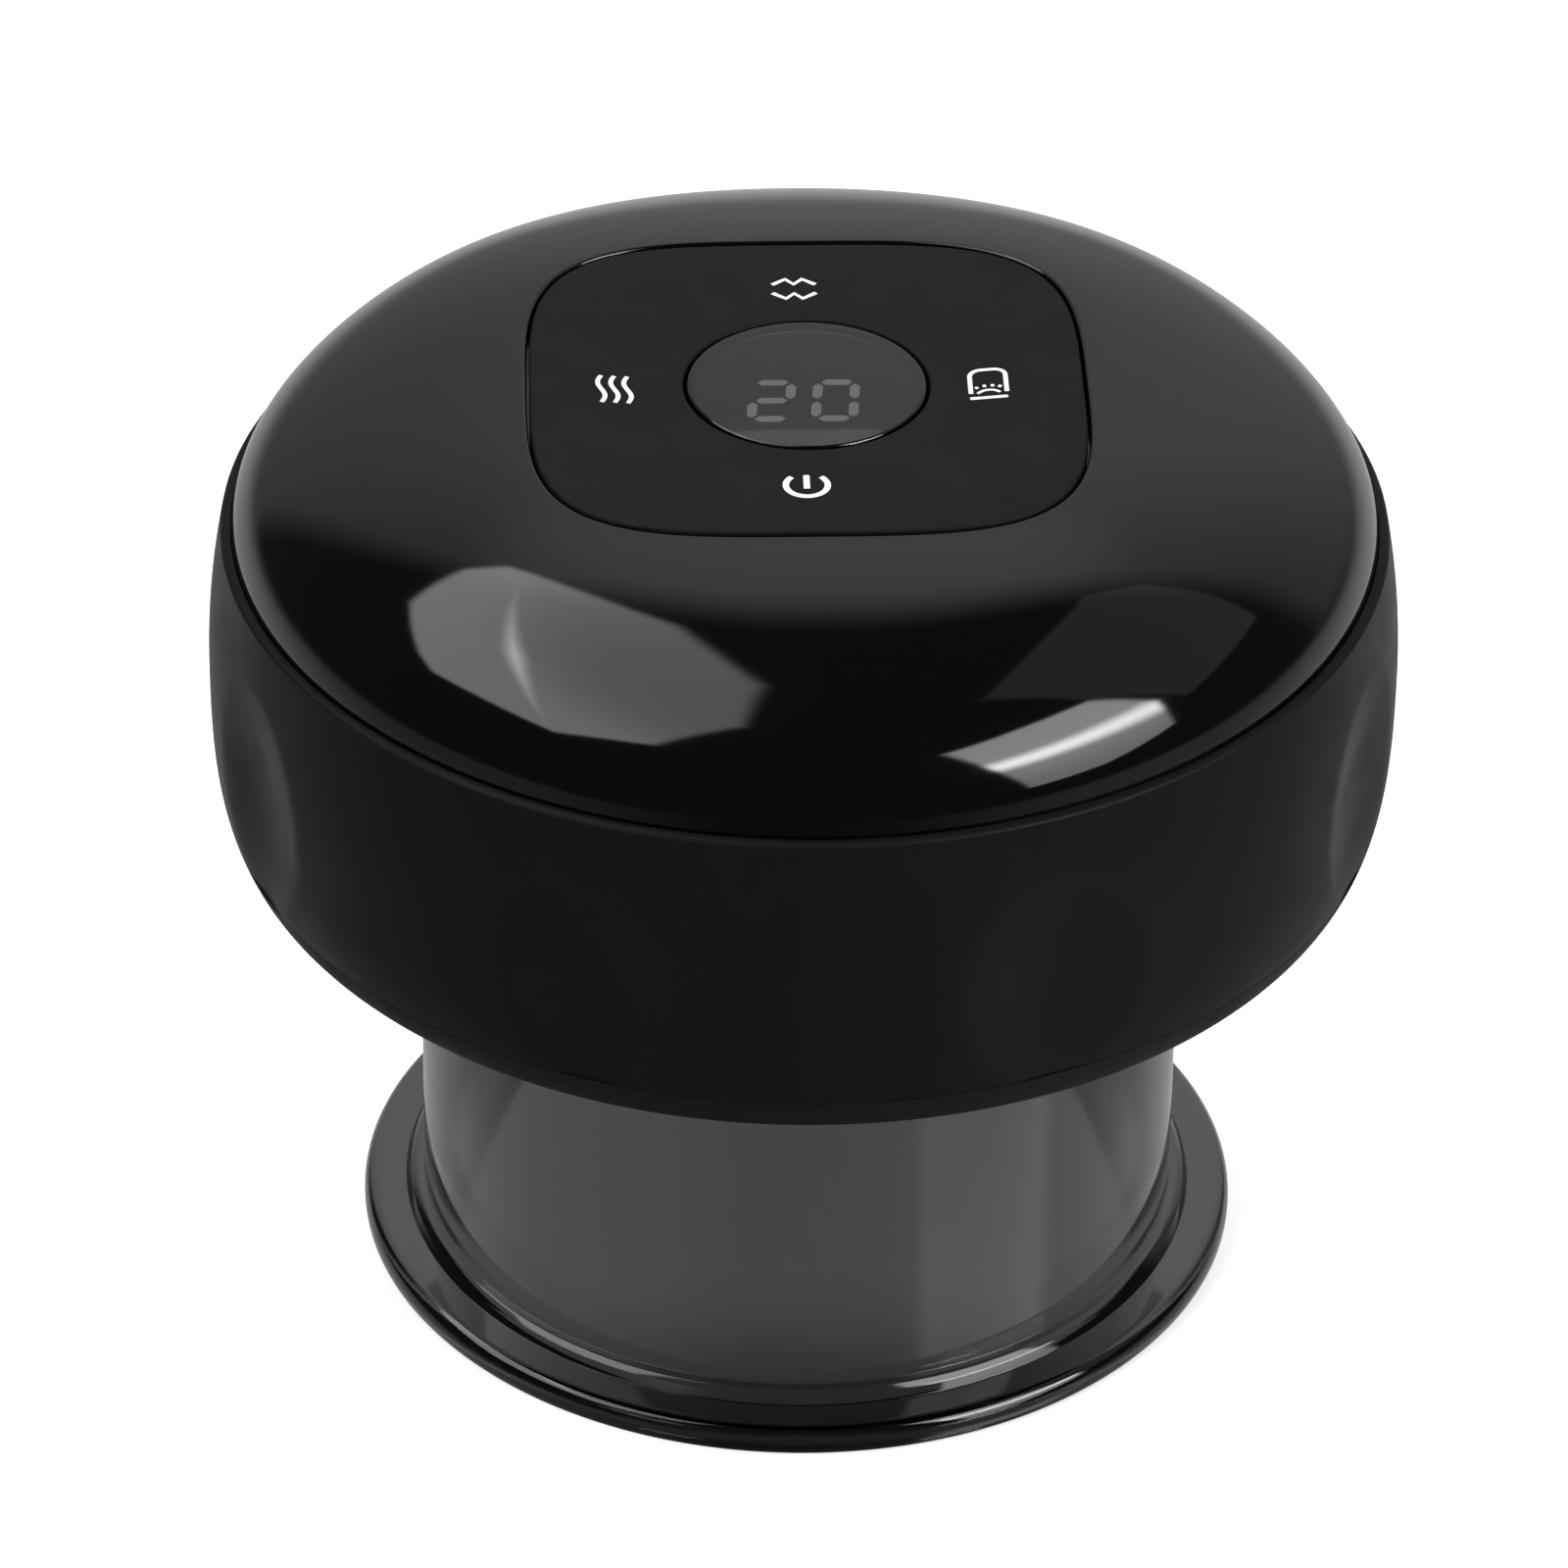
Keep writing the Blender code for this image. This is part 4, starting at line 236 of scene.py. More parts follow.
def make_materials():
    """The finish of each material slot, and of what the scene adds, by its key."""
    tints = bpy.context.scene.massager_colours
    # Key, name, tint, roughness, grain and depth in millimetres, and further values
    rows = (
        # ABS from a mirror-polished mould: hard reflections with the faint waves of moulded plastic
        ("gloss_black_abs", "moulded_gloss_abs", tints.gloss, 0.055, 7, 0.004, dict(IOR=1.54)),
        # ABS from a spark-eroded mould: an even satin, its fine grain drawn coarse enough to show
        ("satin_black_abs", "moulded_satin_abs", tints.satin, 0.62, 0.25, 0.004,
         dict(mottle=0.05, IOR=1.54, Specular_IOR_Level=0.15)),
        # Soft-touch coat over ABS: dull and slightly powdery, lighter where it turns away
        ("soft_touch_grip", "soft_touch_coat", tints.grip, 0.46, 0.3, 0.006,
         dict(mottle=0.04, IOR=1.5, Specular_IOR_Level=0.1, Sheen_Weight=0.015,
              Sheen_Roughness=0.35)),
        # Polycarbonate with a smoke dye, polished inside and out: grey light comes through it
        ("smoked_polycarbonate", "smoked_polycarbonate", tints.cup, 0.06, 9, 0.003,
         dict(mottle=0.05, IOR=1.58, Transmission_Weight=1.0)),
        # Tinted polycarbonate window, polished: the display shows dimly through it
        ("display_lens_pc", "tinted_display_window", "#3e3e3e", 0.04, 6, 0.001,
         dict(mottle=0.04, IOR=1.58, Transmission_Weight=1.0)),
        # Dark filter film on the display: dull and nearly black where no segment is lit
        ("display_face", "dark_display_filter", "#101010", 0.5, 0.4, 0.002,
         dict(Specular_IOR_Level=0.2)),
        # Moulded silicone: a soft, dull black
        ("black_silicone", "black_silicone", "#242424", 0.65, 0.4, 0.01, {}),
        # Extruded silicone tube: milky, with a soft shine
        ("clear_silicone", "milky_silicone_tube", "#cfd0cb", 0.4, 1.2, 0.004, {}),
        # Glass-fibre board under printed solder mask: even green with a low shine
        ("circuit_board", "green_solder_mask", "#1f6238", 0.38, 0.5, 0.006, {}),
        # Transfer-moulded epoxy: fine matt black
        ("chip_epoxy", "moulded_epoxy", "#1e1e20", 0.5, 0.2, 0.008, {}),
        # Moulded nylon: cream, slightly waxy
        ("natural_nylon", "natural_nylon", "#c9c4b4", 0.45, 0.5, 0.006, {}),
        # Moulded ABS: plain white with a fine texture
        ("white_abs", "moulded_white_abs", "#d8d8d5", 0.4, 0.5, 0.005, {}),
        # Cut open-cell foam: dark and mottled by its pores
        ("foam", "open_cell_foam", "#39393a", 0.95, 0.35, 0.12, dict(mottle=0.4)),
        # Extruded PVC: smooth red with a soft shine
        ("wire_jacket", "pvc_wire_jacket", "#a3231f", 0.42, 0.8, 0.004, {}),
        # Shrunk PVC film: blue, glossy and slightly wrinkled
        ("battery_foil", "battery_shrink_film", "#5d83b0", 0.3, 3, 0.02, {}),
        # Zinc-plated steel: bright grey metal with a fine unevenness
        ("zinc_plated_steel", "zinc_plated_steel", "#b9bbbd", 0.3, 0.6, 0.004,
         dict(Metallic=1.0)),
        # Anodised aluminium: even, silky metal
        ("anodised_aluminium", "anodised_aluminium", "#c6c7c9", 0.34, 0.3, 0.004,
         dict(Metallic=1.0)),
        # Drawn copper wire with enamel: warm metal with a fine unevenness
        ("enamelled_copper", "enamelled_copper_wire", "#b5673a", 0.3, 0.3, 0.02,
         dict(Metallic=1.0)),
        # Sintered ferrite: dull dark grey, slightly rough
        ("ferrite", "sintered_ferrite", "#3a3a3d", 0.6, 0.3, 0.01, {}),
        # Screen-printed ink: a thin, even, nearly flat layer of white, with a faint painted glow
        # that lightens it beyond its lit colour
        ("ink", "screen_printed_ink", tints.ink, 0.5, 0.3, 0.002,
         dict(mottle=0.03, Emission_Color=(*tints.ink, 1.0), Emission_Strength=0.35)),
        # Diffusing resin of the display segments, lit, so that they show behind the window
        ("digits", "display_segments", tints.digits, 0.5, 0.4, 0.001,
         dict(mottle=0.05, Emission_Color=(*tints.digits, 1.0), Emission_Strength=10.0)),
        # Frosted edge of the display, with a painted glow that stands in for a little of the
        # segments' light falling on it
        ("glow", "frosted_display_edge", tints.digits, 0.6, 0.8, 0.002,
         dict(mottle=0.2, Emission_Color=(*tints.digits, 1.0), Emission_Strength=3.0)),
        # Cast epoxy of the lamps, unlit: glossy dark red
        ("lamp", "red_epoxy_lamp", "#9c2a22", 0.12, 1.5, 0.004, dict(IOR=1.5)),
        # Black print on the window's underside: flat black without a shine
        ("mask", "black_printed_mask", "#060606", 1.0, 0.3, 0.002, dict(Specular_IOR_Level=0.0)))
    made = {key: moulded(name, linear(tint) if isinstance(tint, str) else tint, roughness, grain,
                         depth, **further)
            for key, name, tint, roughness, grain, depth, further in rows}
    # The cup's base colour is darker just under the head: painted shade of the head's overhang,
    # with a little for the thicker wall at the shoulder
    tint_by_height(made["smoked_polycarbonate"], CUP_BOX[1].z, ((0.64, 1.0), (0.71, 0.75)))
    return made


# Outlines
def across(place, angle):
    """The point at a distance from the middle, in the direction of an angle."""
    return place * math.cos(angle), place * math.sin(angle)


def quarter(steps):
    """Points of a quarter circle of radius 1, from (1, 0) to (0, 1)."""
    return [across(1.0, math.pi / 2 * k / steps) for k in range(steps + 1)]


def ellipse_ring(half_x, half_y, height, curve, count=FACETS):
    """Points of a superellipse, evenly turned, which is a circle where curve is 2."""
    ring = []
    for i in range(count):
        c, s = across(1.0, math.tau * i / count)
        reach = (abs(c / half_x) ** curve + abs(s / half_y) ** curve) ** (-1 / curve)
        ring.append((reach * c, reach * s, height))
    return ring


def rounded(corners, closed=True):
    """Points of an outline from corners of (radius, height, rounding)."""
    steps = 6
    points = []
    for i, (radius, height, rounding) in enumerate(corners):
        here = Vector((radius, height))
        if not rounding or (not closed and i in (0, len(corners) - 1)):
            points.append(here)
            continue
        back = (Vector(corners[i - 1][:2]) - here).normalized()
        ahead = (Vector(corners[(i + 1) % len(corners)][:2]) - here).normalized()
        half = back.angle(ahead) / 2
        middle = here + (back + ahead).normalized() * rounding / math.sin(half)
        first = (here + back * rounding / math.tan(half) - middle).normalized()
        last = (here + ahead * rounding / math.tan(half) - middle).normalized()
        points += [middle + first.slerp(last, k / steps) * rounding for k in range(steps + 1)]
    return points


def stadium(half_width, half_height):
    """Outline of a slot with round ends, as (across, up) points."""
    steps = 12
    points = []
    for side, first in ((1, -90), (-1, 90)):
        for k in range(steps + 1):
            x, z = across(half_height, math.radians(first + 180 * k / steps))
            points.append((x + side * (half_width - half_height), z))
    return points


def washer(inner, outer, low, high, edge):
    """Outline of a flat ring with rounded edges."""
    return rounded([(inner, low, edge), (outer, low, edge), (outer, high, edge),
                    (inner, high, edge)])


# Meshes
def skin(bm, rings, loop=False):
    """Joins rings of points into faces. Without loop, both ends are closed flat."""
    rows = [[bm.verts.new(point) for point in ring] for ring in rings]
    for low, high in zip(rows, rows[1:] + rows[:1] if loop else rows[1:]):
        for i in range(len(low)):
            j = (i + 1) % len(low)
            bm.faces.new((low[i], low[j], high[j], high[i]))
    if not loop:
        bm.faces.new(rows[0])
        bm.faces.new(rows[-1])


def block(bm, low, high):
    """A block between two opposite corners."""
    corners = ((0, 0), (1, 0), (1, 1), (0, 1))
    pair = (low, high)
    skin(bm, [[(pair[i][0], pair[j][1], pair[k][2]) for i, j in corners] for k in (0, 1)])


def rod(bm, radius, low, high, place):
    """An upright rod at a place."""
    skin(bm, [[(x + place[0], y + place[1], z) for x, y, z in
               ellipse_ring(radius, radius, height, 2, FACETS_SMALL)] for height in (low, high)])


def mesh_of(name, draw):
    """A mesh that the draw function fills, with its faces pointing outwards."""
    bm = bmesh.new()
    draw(bm)
    bmesh.ops.recalc_face_normals(bm, faces=bm.faces)
    mesh = bpy.data.meshes.new(name)
    bm.to_mesh(mesh)
    bm.free()
    return mesh


def line_mesh(name, lines, closed=False):
    """A mesh of edges only, along each line of points."""
    mesh = bpy.data.meshes.new(name)
    places, edges = [], []
    for line in lines:
        start = len(places)
        places += [tuple(place) for place in line]
        edges += [(k, k + 1) for k in range(start, len(places) - 1)]
        if closed:
            edges.append((len(places) - 1, start))
    mesh.from_pydata(places, edges, [])
    return mesh


def finish_mesh(mesh):
    """Merges doubles, turns faces outwards and sets smooth and sharp edges."""
    bm = bmesh.new()
    bm.from_mesh(mesh)
    bmesh.ops.remove_doubles(bm, verts=bm.verts, dist=0.0005 * MM)
    bmesh.ops.recalc_face_normals(bm, faces=bm.faces)
    bm.to_mesh(mesh)
    bm.free()
    mesh.shade_smooth()
    mesh.set_sharp_from_angle(angle=SHARP_ANGLE)
    return mesh


def cut_mesh(mesh, *draws):
    """The mesh with each drawn shape cut from it."""
    target = bpy.data.objects.new("solid", mesh)
    bpy.context.collection.objects.link(target)
    tools = []
    for draw in draws:
        tool = bpy.data.objects.new("tool", mesh_of("tool", draw))
        bpy.context.collection.objects.link(tool)
        modifier = target.modifiers.new("cut", "BOOLEAN")
        modifier.operation = "DIFFERENCE"
        modifier.solver = "EXACT"
        modifier.object = tool
        tools.append(tool)
    made = evaluated_mesh(target)
    for tool in tools:
        bpy.data.objects.remove(tool)
    return made


def evaluated_mesh(target):
    """The object's mesh with its modifiers applied; the object is removed."""
    graph = bpy.context.evaluated_depsgraph_get()
    made = bpy.data.meshes.new_from_object(target.evaluated_get(graph))
    bpy.data.objects.remove(target)
    return made


def place_piece(name, mesh, slot, body, *nodes):
    """Adds a piece with its slot's finish, riding on its body in place of the frame's nodes."""
    mesh.materials.clear()
    mesh.materials.append(finish_of(slot))
    made = bpy.data.objects.new(name, mesh)
    bpy.context.collection.objects.link(made)
    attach(made, body)
    if nodes:
        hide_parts(*nodes)
    return made


def finish_of(key):
    """The material of a slot, or of what the scene adds."""
    return bpy.data.materials[MATERIAL_NAMES[key]]


def bevel_edges(made, width):
    """Rounds a small piece's edges a little."""
    made.modifiers.new("edge", "BEVEL").width = width


# Names of the finishes by slot or key, filled by the first operator
MATERIAL_NAMES = {}


# Geometry Nodes
def new_tree(name, **sizes):
    """A Geometry Nodes tree with its named sizes and a material, and its input node's outputs."""
    tree = bpy.data.node_groups.new(name, "GeometryNodeTree")
    tree.interface.new_socket("Geometry", in_out="INPUT", socket_type="NodeSocketGeometry")
    for label, default in sizes.items():
        kind = "NodeSocketInt" if isinstance(default, int) else "NodeSocketFloat"
        made = tree.interface.new_socket(label.replace("_", " "), in_out="INPUT",
                                         socket_type=kind)
        made.default_value = default
    tree.interface.new_socket("Material", in_out="INPUT", socket_type="NodeSocketMaterial")
    tree.interface.new_socket("Geometry", in_out="OUTPUT", socket_type="NodeSocketGeometry")
    return tree, add_node(tree, "NodeGroupInput").outputs


def close_tree(tree, geometry, given):
    """Ends a tree in Realize Instances and Set Material."""
    real = add_node(tree, "GeometryNodeRealizeInstances", {"Geometry": geometry})
    dressed = add_node(tree, "GeometryNodeSetMaterial", {"Geometry": real,
                                                         "Material": given["Material"]})
    add_node(tree, "NodeGroupOutput", {"Geometry": dressed})
    return tree


def grow(tree, mesh, **values):
    """The mesh that a tree makes of a mesh; values are given by the inputs' names."""
    source = bpy.data.objects.new("source", mesh)
    bpy.context.collection.objects.link(source)
    modifier = source.modifiers.new("grow", "NODES")
    modifier.node_group = tree
    for item in tree.interface.items_tree:
        key = item.name.replace(" ", "_").lower()
        if item.in_out == "INPUT" and key in values:
            modifier[item.identifier] = values[key]
    return finish_mesh(evaluated_mesh(source))


def turning_tree():
    """Turns an outline, drawn as edges of (radius, 0, height), about the vertical axis."""
    path_radius = 1.0 * MM
    tree, given = new_tree("turned_piece", Facets=FACETS)
    place = add_node(tree, "ShaderNodeSeparateXYZ",
                     {"Vector": add_node(tree, "GeometryNodeInputPosition")})
    beside = add_node(tree, "ShaderNodeMath", {0: place.outputs["X"], 1: path_radius},
                      operation="SUBTRACT")
    down = add_node(tree, "ShaderNodeMath", {0: place.outputs["Z"], 1: -1.0}, operation="MULTIPLY")
    flat = add_node(tree, "ShaderNodeCombineXYZ", {"X": beside, "Y": down})
    laid = add_node(tree, "GeometryNodeSetPosition", {"Geometry": given["Geometry"],
                                                      "Position": flat})
    outline = add_node(tree, "GeometryNodeMeshToCurve", {"Mesh": laid})
    path = add_node(tree, "GeometryNodeCurvePrimitiveCircle", {"Resolution": given["Facets"],
                                                               "Radius": path_radius})
    turned = add_node(tree, "GeometryNodeCurveToMesh", {"Curve": path, "Profile Curve": outline})
    return close_tree(tree, turned, given)


def dimple_tree():
    """Presses evenly spaced finger dimples into a turned piece."""
    tree, given = new_tree("finger_dimples", Count=8, Radius=1.0, Half_width=1.0, Half_height=1.0,
                           Middle=0.0, Depth=0.0, Inner_radius=0.0)
    place = add_node(tree, "ShaderNodeSeparateXYZ",
                     {"Vector": add_node(tree, "GeometryNodeInputPosition")})
    values = dict([*given.items(), *place.outputs.items()])
    # Each row names a number, how it is worked out, and the inputs or earlier numbers it is made of
    for name, operation, *parts in (
            ("angle", "ARCTAN2", "Y", "X"), ("turns", "DIVIDE", "angle", math.tau),
            ("dimples", "MULTIPLY", "turns", "Count"), ("within dimple", "FRACT", "dimples"),
            ("off middle", "SUBTRACT", "within dimple", 0.5),
            ("turns off middle", "DIVIDE", "off middle", "Count"),
            ("way round", "MULTIPLY", "Radius", math.tau),
            ("arc", "MULTIPLY", "turns off middle", "way round"),
            ("aside", "DIVIDE", "arc", "Half width"),
            ("aside squared", "MULTIPLY", "aside", "aside"),
            ("over middle", "SUBTRACT", "Z", "Middle"),
            ("above", "DIVIDE", "over middle", "Half height"),
            ("above squared", "MULTIPLY", "above", "above"),
            ("beside", "SUBTRACT", 1.0, "aside squared"),
            ("left over", "SUBTRACT", "beside", "above squared"),
            ("inside", "MAXIMUM", "left over", 0.0), ("slope", "MULTIPLY_ADD", "inside", 0.4, 0.6),
            ("soft", "MULTIPLY", "inside", "slope"),
            ("x squared", "MULTIPLY", "X", "X"), ("y squared", "MULTIPLY", "Y", "Y"),
            ("squares", "ADD", "x squared", "y squared"), ("reach", "SQRT", "squares"),
            ("outside", "GREATER_THAN", "reach", "Inner radius"),
            ("pressed", "MULTIPLY", "soft", "outside"), ("deep", "MULTIPLY", "pressed", "Depth"),
            ("push", "DIVIDE", "deep", "reach"), ("inward", "MULTIPLY", "push", -1.0),
            ("x offset", "MULTIPLY", "inward", "X"), ("y offset", "MULTIPLY", "inward", "Y")):
        values[name] = add_node(tree, "ShaderNodeMath", {
            i: values.get(part, part) for i, part in enumerate(parts)}, operation=operation)
    offset = add_node(tree, "ShaderNodeCombineXYZ", {"X": values["x offset"],
                                                     "Y": values["y offset"]})
    pressed = add_node(tree, "GeometryNodeSetPosition", {"Geometry": given["Geometry"],
                                                         "Offset": offset})
    return close_tree(tree, pressed, given)


def stroke_tree():
    """Draws flat strokes along lines, for printed symbols."""
    tree, given = new_tree("printed_strokes", Width=0.001, Flatness=0.1, Height=0.0)
    line = add_node(tree, "GeometryNodeMeshToCurve", {"Mesh": given["Geometry"]})
    half = add_node(tree, "ShaderNodeMath", {0: given["Width"], 1: 0.5}, operation="MULTIPLY")
    section = add_node(tree, "GeometryNodeCurvePrimitiveCircle", {"Resolution": 10,
                                                                  "Radius": half})
    stroke = add_node(tree, "GeometryNodeCurveToMesh", {"Curve": line, "Profile Curve": section,
                                                        "Fill Caps": True})
    scale = add_node(tree, "ShaderNodeCombineXYZ", {"X": 1.0, "Y": 1.0, "Z": given["Flatness"]})
    lift = add_node(tree, "ShaderNodeCombineXYZ", {"Z": given["Height"]})
    laid = add_node(tree, "GeometryNodeTransform", {"Geometry": stroke, "Scale": scale,
                                                    "Translation": lift})
    return close_tree(tree, laid, given)


def circle_tree():
    """Sets copies of a piece, drawn at the middle, evenly round a circle."""
    tree, given = new_tree("copies_round_circle", Count=4, Circle_radius=0.01, First_angle=0.0)
    ring = add_node(tree, "GeometryNodeMeshCircle", {"Vertices": given["Count"],
                                                     "Radius": given["Circle radius"]})
    turn = add_node(tree, "ShaderNodeCombineXYZ", {"Z": given["First angle"]})
    turned = add_node(tree, "GeometryNodeTransform", {"Geometry": ring, "Rotation": turn})
    copies = add_node(tree, "GeometryNodeInstanceOnPoints", {"Points": turned,
                                                             "Instance": given["Geometry"]})
    return close_tree(tree, copies, given)


def thread_tree():
    """Helical thread ribs from the section drawn as edges, one for each start."""
    tree, given = new_tree("thread_ribs", Starts=3, Radius=0.03, Lead=0.012, Turns=0.2, Base=0.0)
    rise = add_node(tree, "ShaderNodeMath", {0: given["Lead"], 1: given["Turns"]},
                    operation="MULTIPLY")
    helix = add_node(tree, "GeometryNodeCurveSpiral", {
        "Resolution": 96, "Rotations": given["Turns"], "Start Radius": given["Radius"],
        "End Radius": given["Radius"], "Height": rise})
    outline = add_node(tree, "GeometryNodeMeshToCurve", {"Mesh": given["Geometry"]})
    rib = add_node(tree, "GeometryNodeCurveToMesh", {"Curve": helix, "Profile Curve": outline,
                                                     "Fill Caps": True})
    lift = add_node(tree, "ShaderNodeCombineXYZ", {"Z": given["Base"]})
    lifted = add_node(tree, "GeometryNodeTransform", {"Geometry": rib, "Translation": lift})
    starts = add_node(tree, "GeometryNodePoints", {"Count": given["Starts"]})
    share = add_node(tree, "ShaderNodeMath", {0: add_node(tree, "GeometryNodeInputIndex"),
                                              1: given["Starts"]}, operation="DIVIDE")
    angle = add_node(tree, "ShaderNodeMath", {0: share, 1: math.tau}, operation="MULTIPLY")
    turn = add_node(tree, "ShaderNodeCombineXYZ", {"Z": angle})
    copies = add_node(tree, "GeometryNodeInstanceOnPoints", {"Points": starts, "Instance": lifted,
                                                             "Rotation": turn})
    return close_tree(tree, copies, given)


# Node trees by what they do, filled by the first operator
TREES = {}


def turned_mesh(name, outline, facets=FACETS, closed=True):
    """A turned piece from its outline of (radius, height) points."""
    drawn = line_mesh(name, [[(radius, 0.0, height) for radius, height in outline]], closed)
    return grow(TREES["turning"], drawn, facets=facets)


def thread_ribs(root, crest, radius, base):
    """The thread's ribs, with root and crest in millimetres beside a radius."""
    section = [(x * MM, y * MM, 0.0) for x, y in
               ((root, -0.6), (crest, -0.35), (crest, 0.35), (root, 0.6))]
    return grow(TREES["thread"], line_mesh("rib", [section], True), radius=radius,
                turns=RIB_TURNS, base=base)


def joined(meshes):
    """One mesh of several."""
    bm = bmesh.new()
    for mesh in meshes:
        bm.from_mesh(mesh)
    made = bpy.data.meshes.new("joined")
    bm.to_mesh(made)
    bm.free()
    made.shade_smooth()
    made.set_sharp_from_angle(angle=SHARP_ANGLE)
    return made


# Cup
def cup_outline(sizes):
    """Outline of the smoked cup: neck, wall, bead, rim and bore."""
    top, rim = CUP_BOX[1].z, CUP_BOX[1].x
    bead_top = sizes.rim_thickness + sizes.bead_rise
    shoulder = HEAD_BOTTOM + 0.5 * MM
    return rounded([
        (sizes.neck_radius, top, 0.3 * MM),
        (sizes.neck_radius, shoulder, 0.0),
        (sizes.wall_radius, shoulder, 0.4 * MM),
        (sizes.wall_radius, bead_top, 0.1 * MM),
        (sizes.bead_radius - 0.9 * MM, bead_top, 0.5 * MM),
        (sizes.bead_radius - 0.4 * MM, bead_top - 0.45 * MM, 0.6 * MM),
        (sizes.bead_radius, sizes.rim_thickness, 0.1 * MM),
        (rim, sizes.rim_thickness, 1.25 * MM),
        (rim, 0.0, 0.8 * MM),
        (sizes.bore_radius, 0.0, 1.5 * MM),
        (sizes.bore_radius, top, 0.3 * MM)])


class MASSAGER_OT_cup(bpy.types.Operator):
    """Makes the smoked cup with its thread, and the seal on its neck"""
    bl_idname = "massager.cup"
    bl_label = "Cup"

    def execute(self, context):
        sizes = context.scene.massager_cup
        wall = turned_mesh("cup", cup_outline(sizes))
        thread_base = HEAD_BOTTOM + 3.1 * MM
        ribs = thread_ribs(-0.33, 0.825, sizes.neck_radius, thread_base)
        place_piece("smoked_cup", joined([wall, ribs]), "smoked_polycarbonate", "cup", "cup")
        low, high = SEAL_BOX
        bore, edge = sizes.bore_radius + 0.4 * MM, 0.25 * MM
        seal = washer(bore, sizes.neck_radius, low.z, high.z, edge)
        place_piece("neck_seal", turned_mesh("seal", seal), "black_silicone", "seal", "cup_seal")
        return {"FINISHED"}


# Head shells
def head_outline(sizes, height):
    """Radius of the head's outside at a height."""
    widest = GRIP_BOX[1].x
    if height <= sizes.widest:
        share = min(1.0, (sizes.widest - height) / (sizes.widest - HEAD_BOTTOM))
        return sizes.edge_radius + (widest - sizes.edge_radius) * (1 - share**3) ** (1 / 3)
    share = (height - sizes.widest) / (GRIP_BOX[1].z - sizes.widest)
    return widest - (widest - sizes.lip_radius) * share**2


def slot_cutter(half_width, half_height, inner, outer):
    """A slot along Y at the height of the charging socket."""
    def draw(bm):
        skin(bm, [[(x, reach, z + SOCKET_MIDDLE) for x, z in stadium(half_width, half_height)]
                  for reach in (inner, outer)])
    return draw


